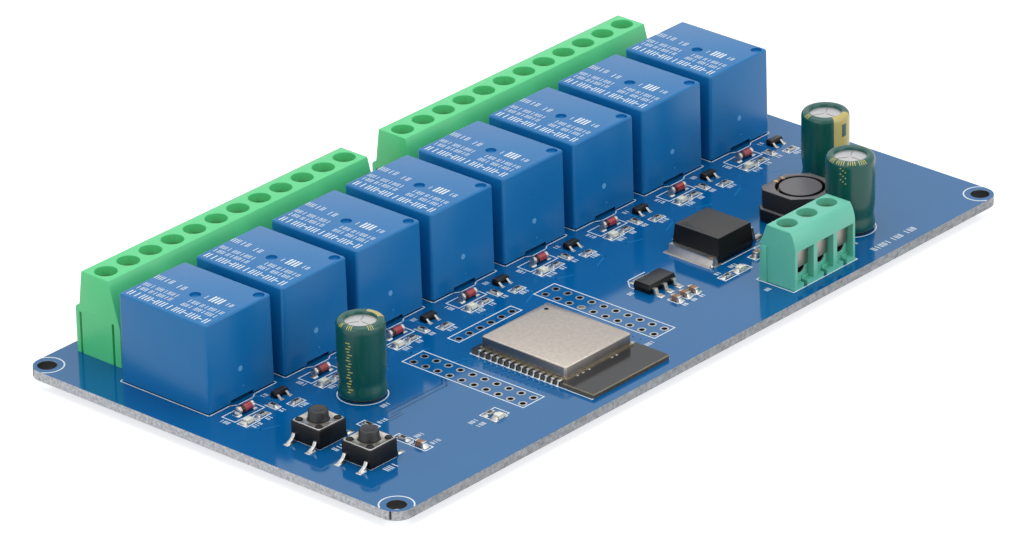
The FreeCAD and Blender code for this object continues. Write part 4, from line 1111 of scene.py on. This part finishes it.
# The pin hole's inside is painted dark: painted shade.
paint(2, lambda place, way: math.hypot(place.x - x, place.y - y) < 0.39 and place.z < 2.94)
paint(3, lambda place, way: 0.81 < place.z < 1.07)
finish(("wireless_module_shield",))
notch_places = [(0, notch_y - notch_pitch * index) for index in range(14)]
begin("module_solder", "tin")
solder(module_x - half_board, notch_y, -1, 0, 0.42, height=0.78, inside=0.25)
stack((0.8, -9.0, -8.15, -0.32, 0.32), (0.93, -8.9, -8.3, -0.2, 0.2), at=(module_x, notch_y))
repeat(notch_places, whole=True)
solder(module_x + half_board, notch_y, 1, 0, 0.5, height=0.78, inside=0.25)
repeat(notch_places)
stack((0.8, 8.15, 9.0, -0.4, 0.4), (0.83, 8.17, 9.0, -0.38, 0.38), at=(module_x, notch_y))
repeat(notch_places)
for x in (48.9, 50.2, 51.7, 57.1, 58.2):
    rise(x - 0.25, x + 0.25, 6.25, 6.55, (0.8, 0), (0.86, 0.05))
finish(bevel=0.03)

# %% [markdown]
# Under the board every lead ends in a small cone of solder round its tip, and on top the large tab of
# the switching regulator and the feet of the other packages stand in solder too. The cones are turned
# once and copied to every lead.

# %% Solder
relay_y = 51.95
lead_places = [(m + x, relay_y + y) for m in relay_middles
               for x, y in ((0, -7.1), (-6, -5.1), (6, -5.1), (-6, 7.1), (6, 7.1))]
lead_places += [(x, well_y) for x in rear_xs] + [(x, supply_y) for x in supply_xs]
lead_places += [(x + lead, y) for x, y, _, _ in capacitor_places for lead in (-1.75, 1.75)]
begin("solder_cones", "tin")
turn([(1.1, -1.6), (1.1, -1.63), (0.95, -1.68), (0.75, -1.95), (0.62, -2.4), (0.55, -2.9), (0.4, -3.05)], 14,
     lead_places[0])
repeat(lead_places)
finish(angle=50)
begin("package_solder", "tin", "worn_tab", "copper")
stack((0.0, 92.4, 95.4, 15.8, 26.1), (0.05, 92.45, 95.4, 15.85, 26.05))
paint(1)
stack((0.05, 92.9, 94.0, 16.2, 25.7), (0.7, 93.45, 93.8, 16.3, 25.6), (1.1, 93.5, 93.7, 16.4, 25.5))
paint(1)
stack((1.15, 93.48, 94.1, 16.3, 17.5), (1.31, 93.5, 94.05, 16.35, 17.4))
paint(2)
turn([(0.36, 0.0), (0.36, 0.3), (0.26, 0.5), (0.1, 0.58)], 14, (92.85, 16.0))
for index in range(5):
    solder(106.8, 20.95 + (index - 2) * 1.7, 1, 0, 1.1, reach=0.5, height=0.4, inside=1.5)
for x in (79.9, 82.2, 84.5):
    solder(x, 15.7, 0, -1, 0.95, height=0.25, inside=0.8)
solder(82.2, 22.4, 0, 1, 3.2, reach=0.5, height=0.25, inside=0.9)
for m in relay_middles:
    for x, way in ((3.8, -1), (5.7, -1), (4.75, 1)):
        solder(m + x, 39.0 + way * 1.2, 0, way, 0.6, reach=0.3, height=0.16, inside=0.4)
finish(bevel=0.03)

# %% [markdown]
# The photograph looks at one corner from well above, with a long lens. The camera stands more than a
# metre away and is turned by three directions that were measured on the board's holes and edges.

# %% Camera
photo_width = 1024
film_width = 36
focal_pixels, sideways_pixels, distance = 6866.02, -0.938, 1.108638
azimuth, elevation, roll = (math.radians(angle) for angle in (-47.888, 25.652, -1.292))
level_way = Vector((math.sin(azimuth), -math.cos(azimuth), 0))
back = level_way * math.cos(elevation) + Vector((0, 0, math.sin(elevation)))
right = Vector((0, 0, 1)).cross(back).normalized()
upward = back.cross(right)
right, upward = (math.cos(roll) * right + math.sin(roll) * upward,
                 math.cos(roll) * upward - math.sin(roll) * right)
data = bpy.data.cameras.new("camera")
camera = bpy.data.objects.new("camera", data)
bpy.context.scene.collection.objects.link(camera)
place = on_board(72.734, 41.026) + back * distance
camera.matrix_world = Matrix(((*right, 0), (*upward, 0), (*back, 0), (*place, 1))).transposed()
data.lens, data.sensor_width = focal_pixels / photo_width * film_width, film_width
data.clip_start, data.clip_end = 0.05, 20
data.shift_x = sideways_pixels / photo_width
bpy.context.scene.camera = camera
print("lens", round(data.lens, 1))

# %% [markdown]
# The object was photographed on plain white. The floor is pale and catches a soft shadow. For the
# camera and for mirrors it also glows with a little less than white, so that it comes out white
# where it is lit and keeps its shadow. The world does the same: white where it is looked at or
# mirrored, and softer where it lights matt surfaces. Wide lamps above, at the left and in front give
# the tops and the two faces that look at the camera their extra light.

# %% Floor and light
def empty_tree(owner):
    """The node tree of a material or world, with nothing in it yet."""
    owner.use_nodes = True
    owner.node_tree.nodes.clear()
    return owner.node_tree


def watched(tree):
    """One where a ray comes from the camera, a mirror or glass."""
    path = add_node(tree, "LightPath").outputs
    seen_by = maths(tree, "ADD", path["Is Camera Ray"], path["Is Glossy Ray"])
    return maths(tree, "MINIMUM", maths(tree, "ADD", seen_by, path["Is Transmission Ray"]), 1.0)


bpy.context.scene.view_settings.view_transform = "Standard"
bpy.ops.mesh.primitive_plane_add(size=6, location=(0, 0, part_low.z))
floor = bpy.context.object
floor.name = "floor"
floor_white = bpy.data.materials.new("floor_white")
tree = empty_tree(floor_white)
matt = add_node(tree, "BsdfDiffuse", {"Color": (0.5, 0.5, 0.5, 1)})
strength = maths(tree, "MULTIPLY", watched(tree), 0.72)
glow = add_node(tree, "Emission", {"Color": (1, 1, 1, 1), "Strength": strength})
both = add_node(tree, "AddShader", {0: matt.outputs[0], 1: glow.outputs[0]})
add_node(tree, "OutputMaterial", {0: both.outputs[0]})
floor.data.materials.append(floor_white)
floor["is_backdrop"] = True

world = bpy.data.worlds.new("white_room")
tree = empty_tree(world)
strength = maths(tree, "MULTIPLY_ADD", watched(tree), 0.45, 0.55)
sky = add_node(tree, "Background", {"Color": (1, 1, 1, 1), "Strength": strength})
add_node(tree, "OutputWorld", {0: sky.outputs[0]})
bpy.context.scene.world = world
for name, place, size, power in (("lamp_above", (0.05, 0.1, 1.1), 1.3, 7.0),
                                 ("lamp_left", (-1.1, 0.0, 0.5), 0.9, 3.0),
                                 ("lamp_front", (0.3, -1.1, 0.45), 0.9, 4.5)):
    data = bpy.data.lights.new(name, "AREA")
    data.size, data.energy = size, power
    lamp = bpy.data.objects.new(name, data)
    lamp.location = place
    lamp.rotation_euler = (-Vector(place)).to_track_quat("-Z", "Y").to_euler()
    bpy.context.scene.collection.objects.link(lamp)
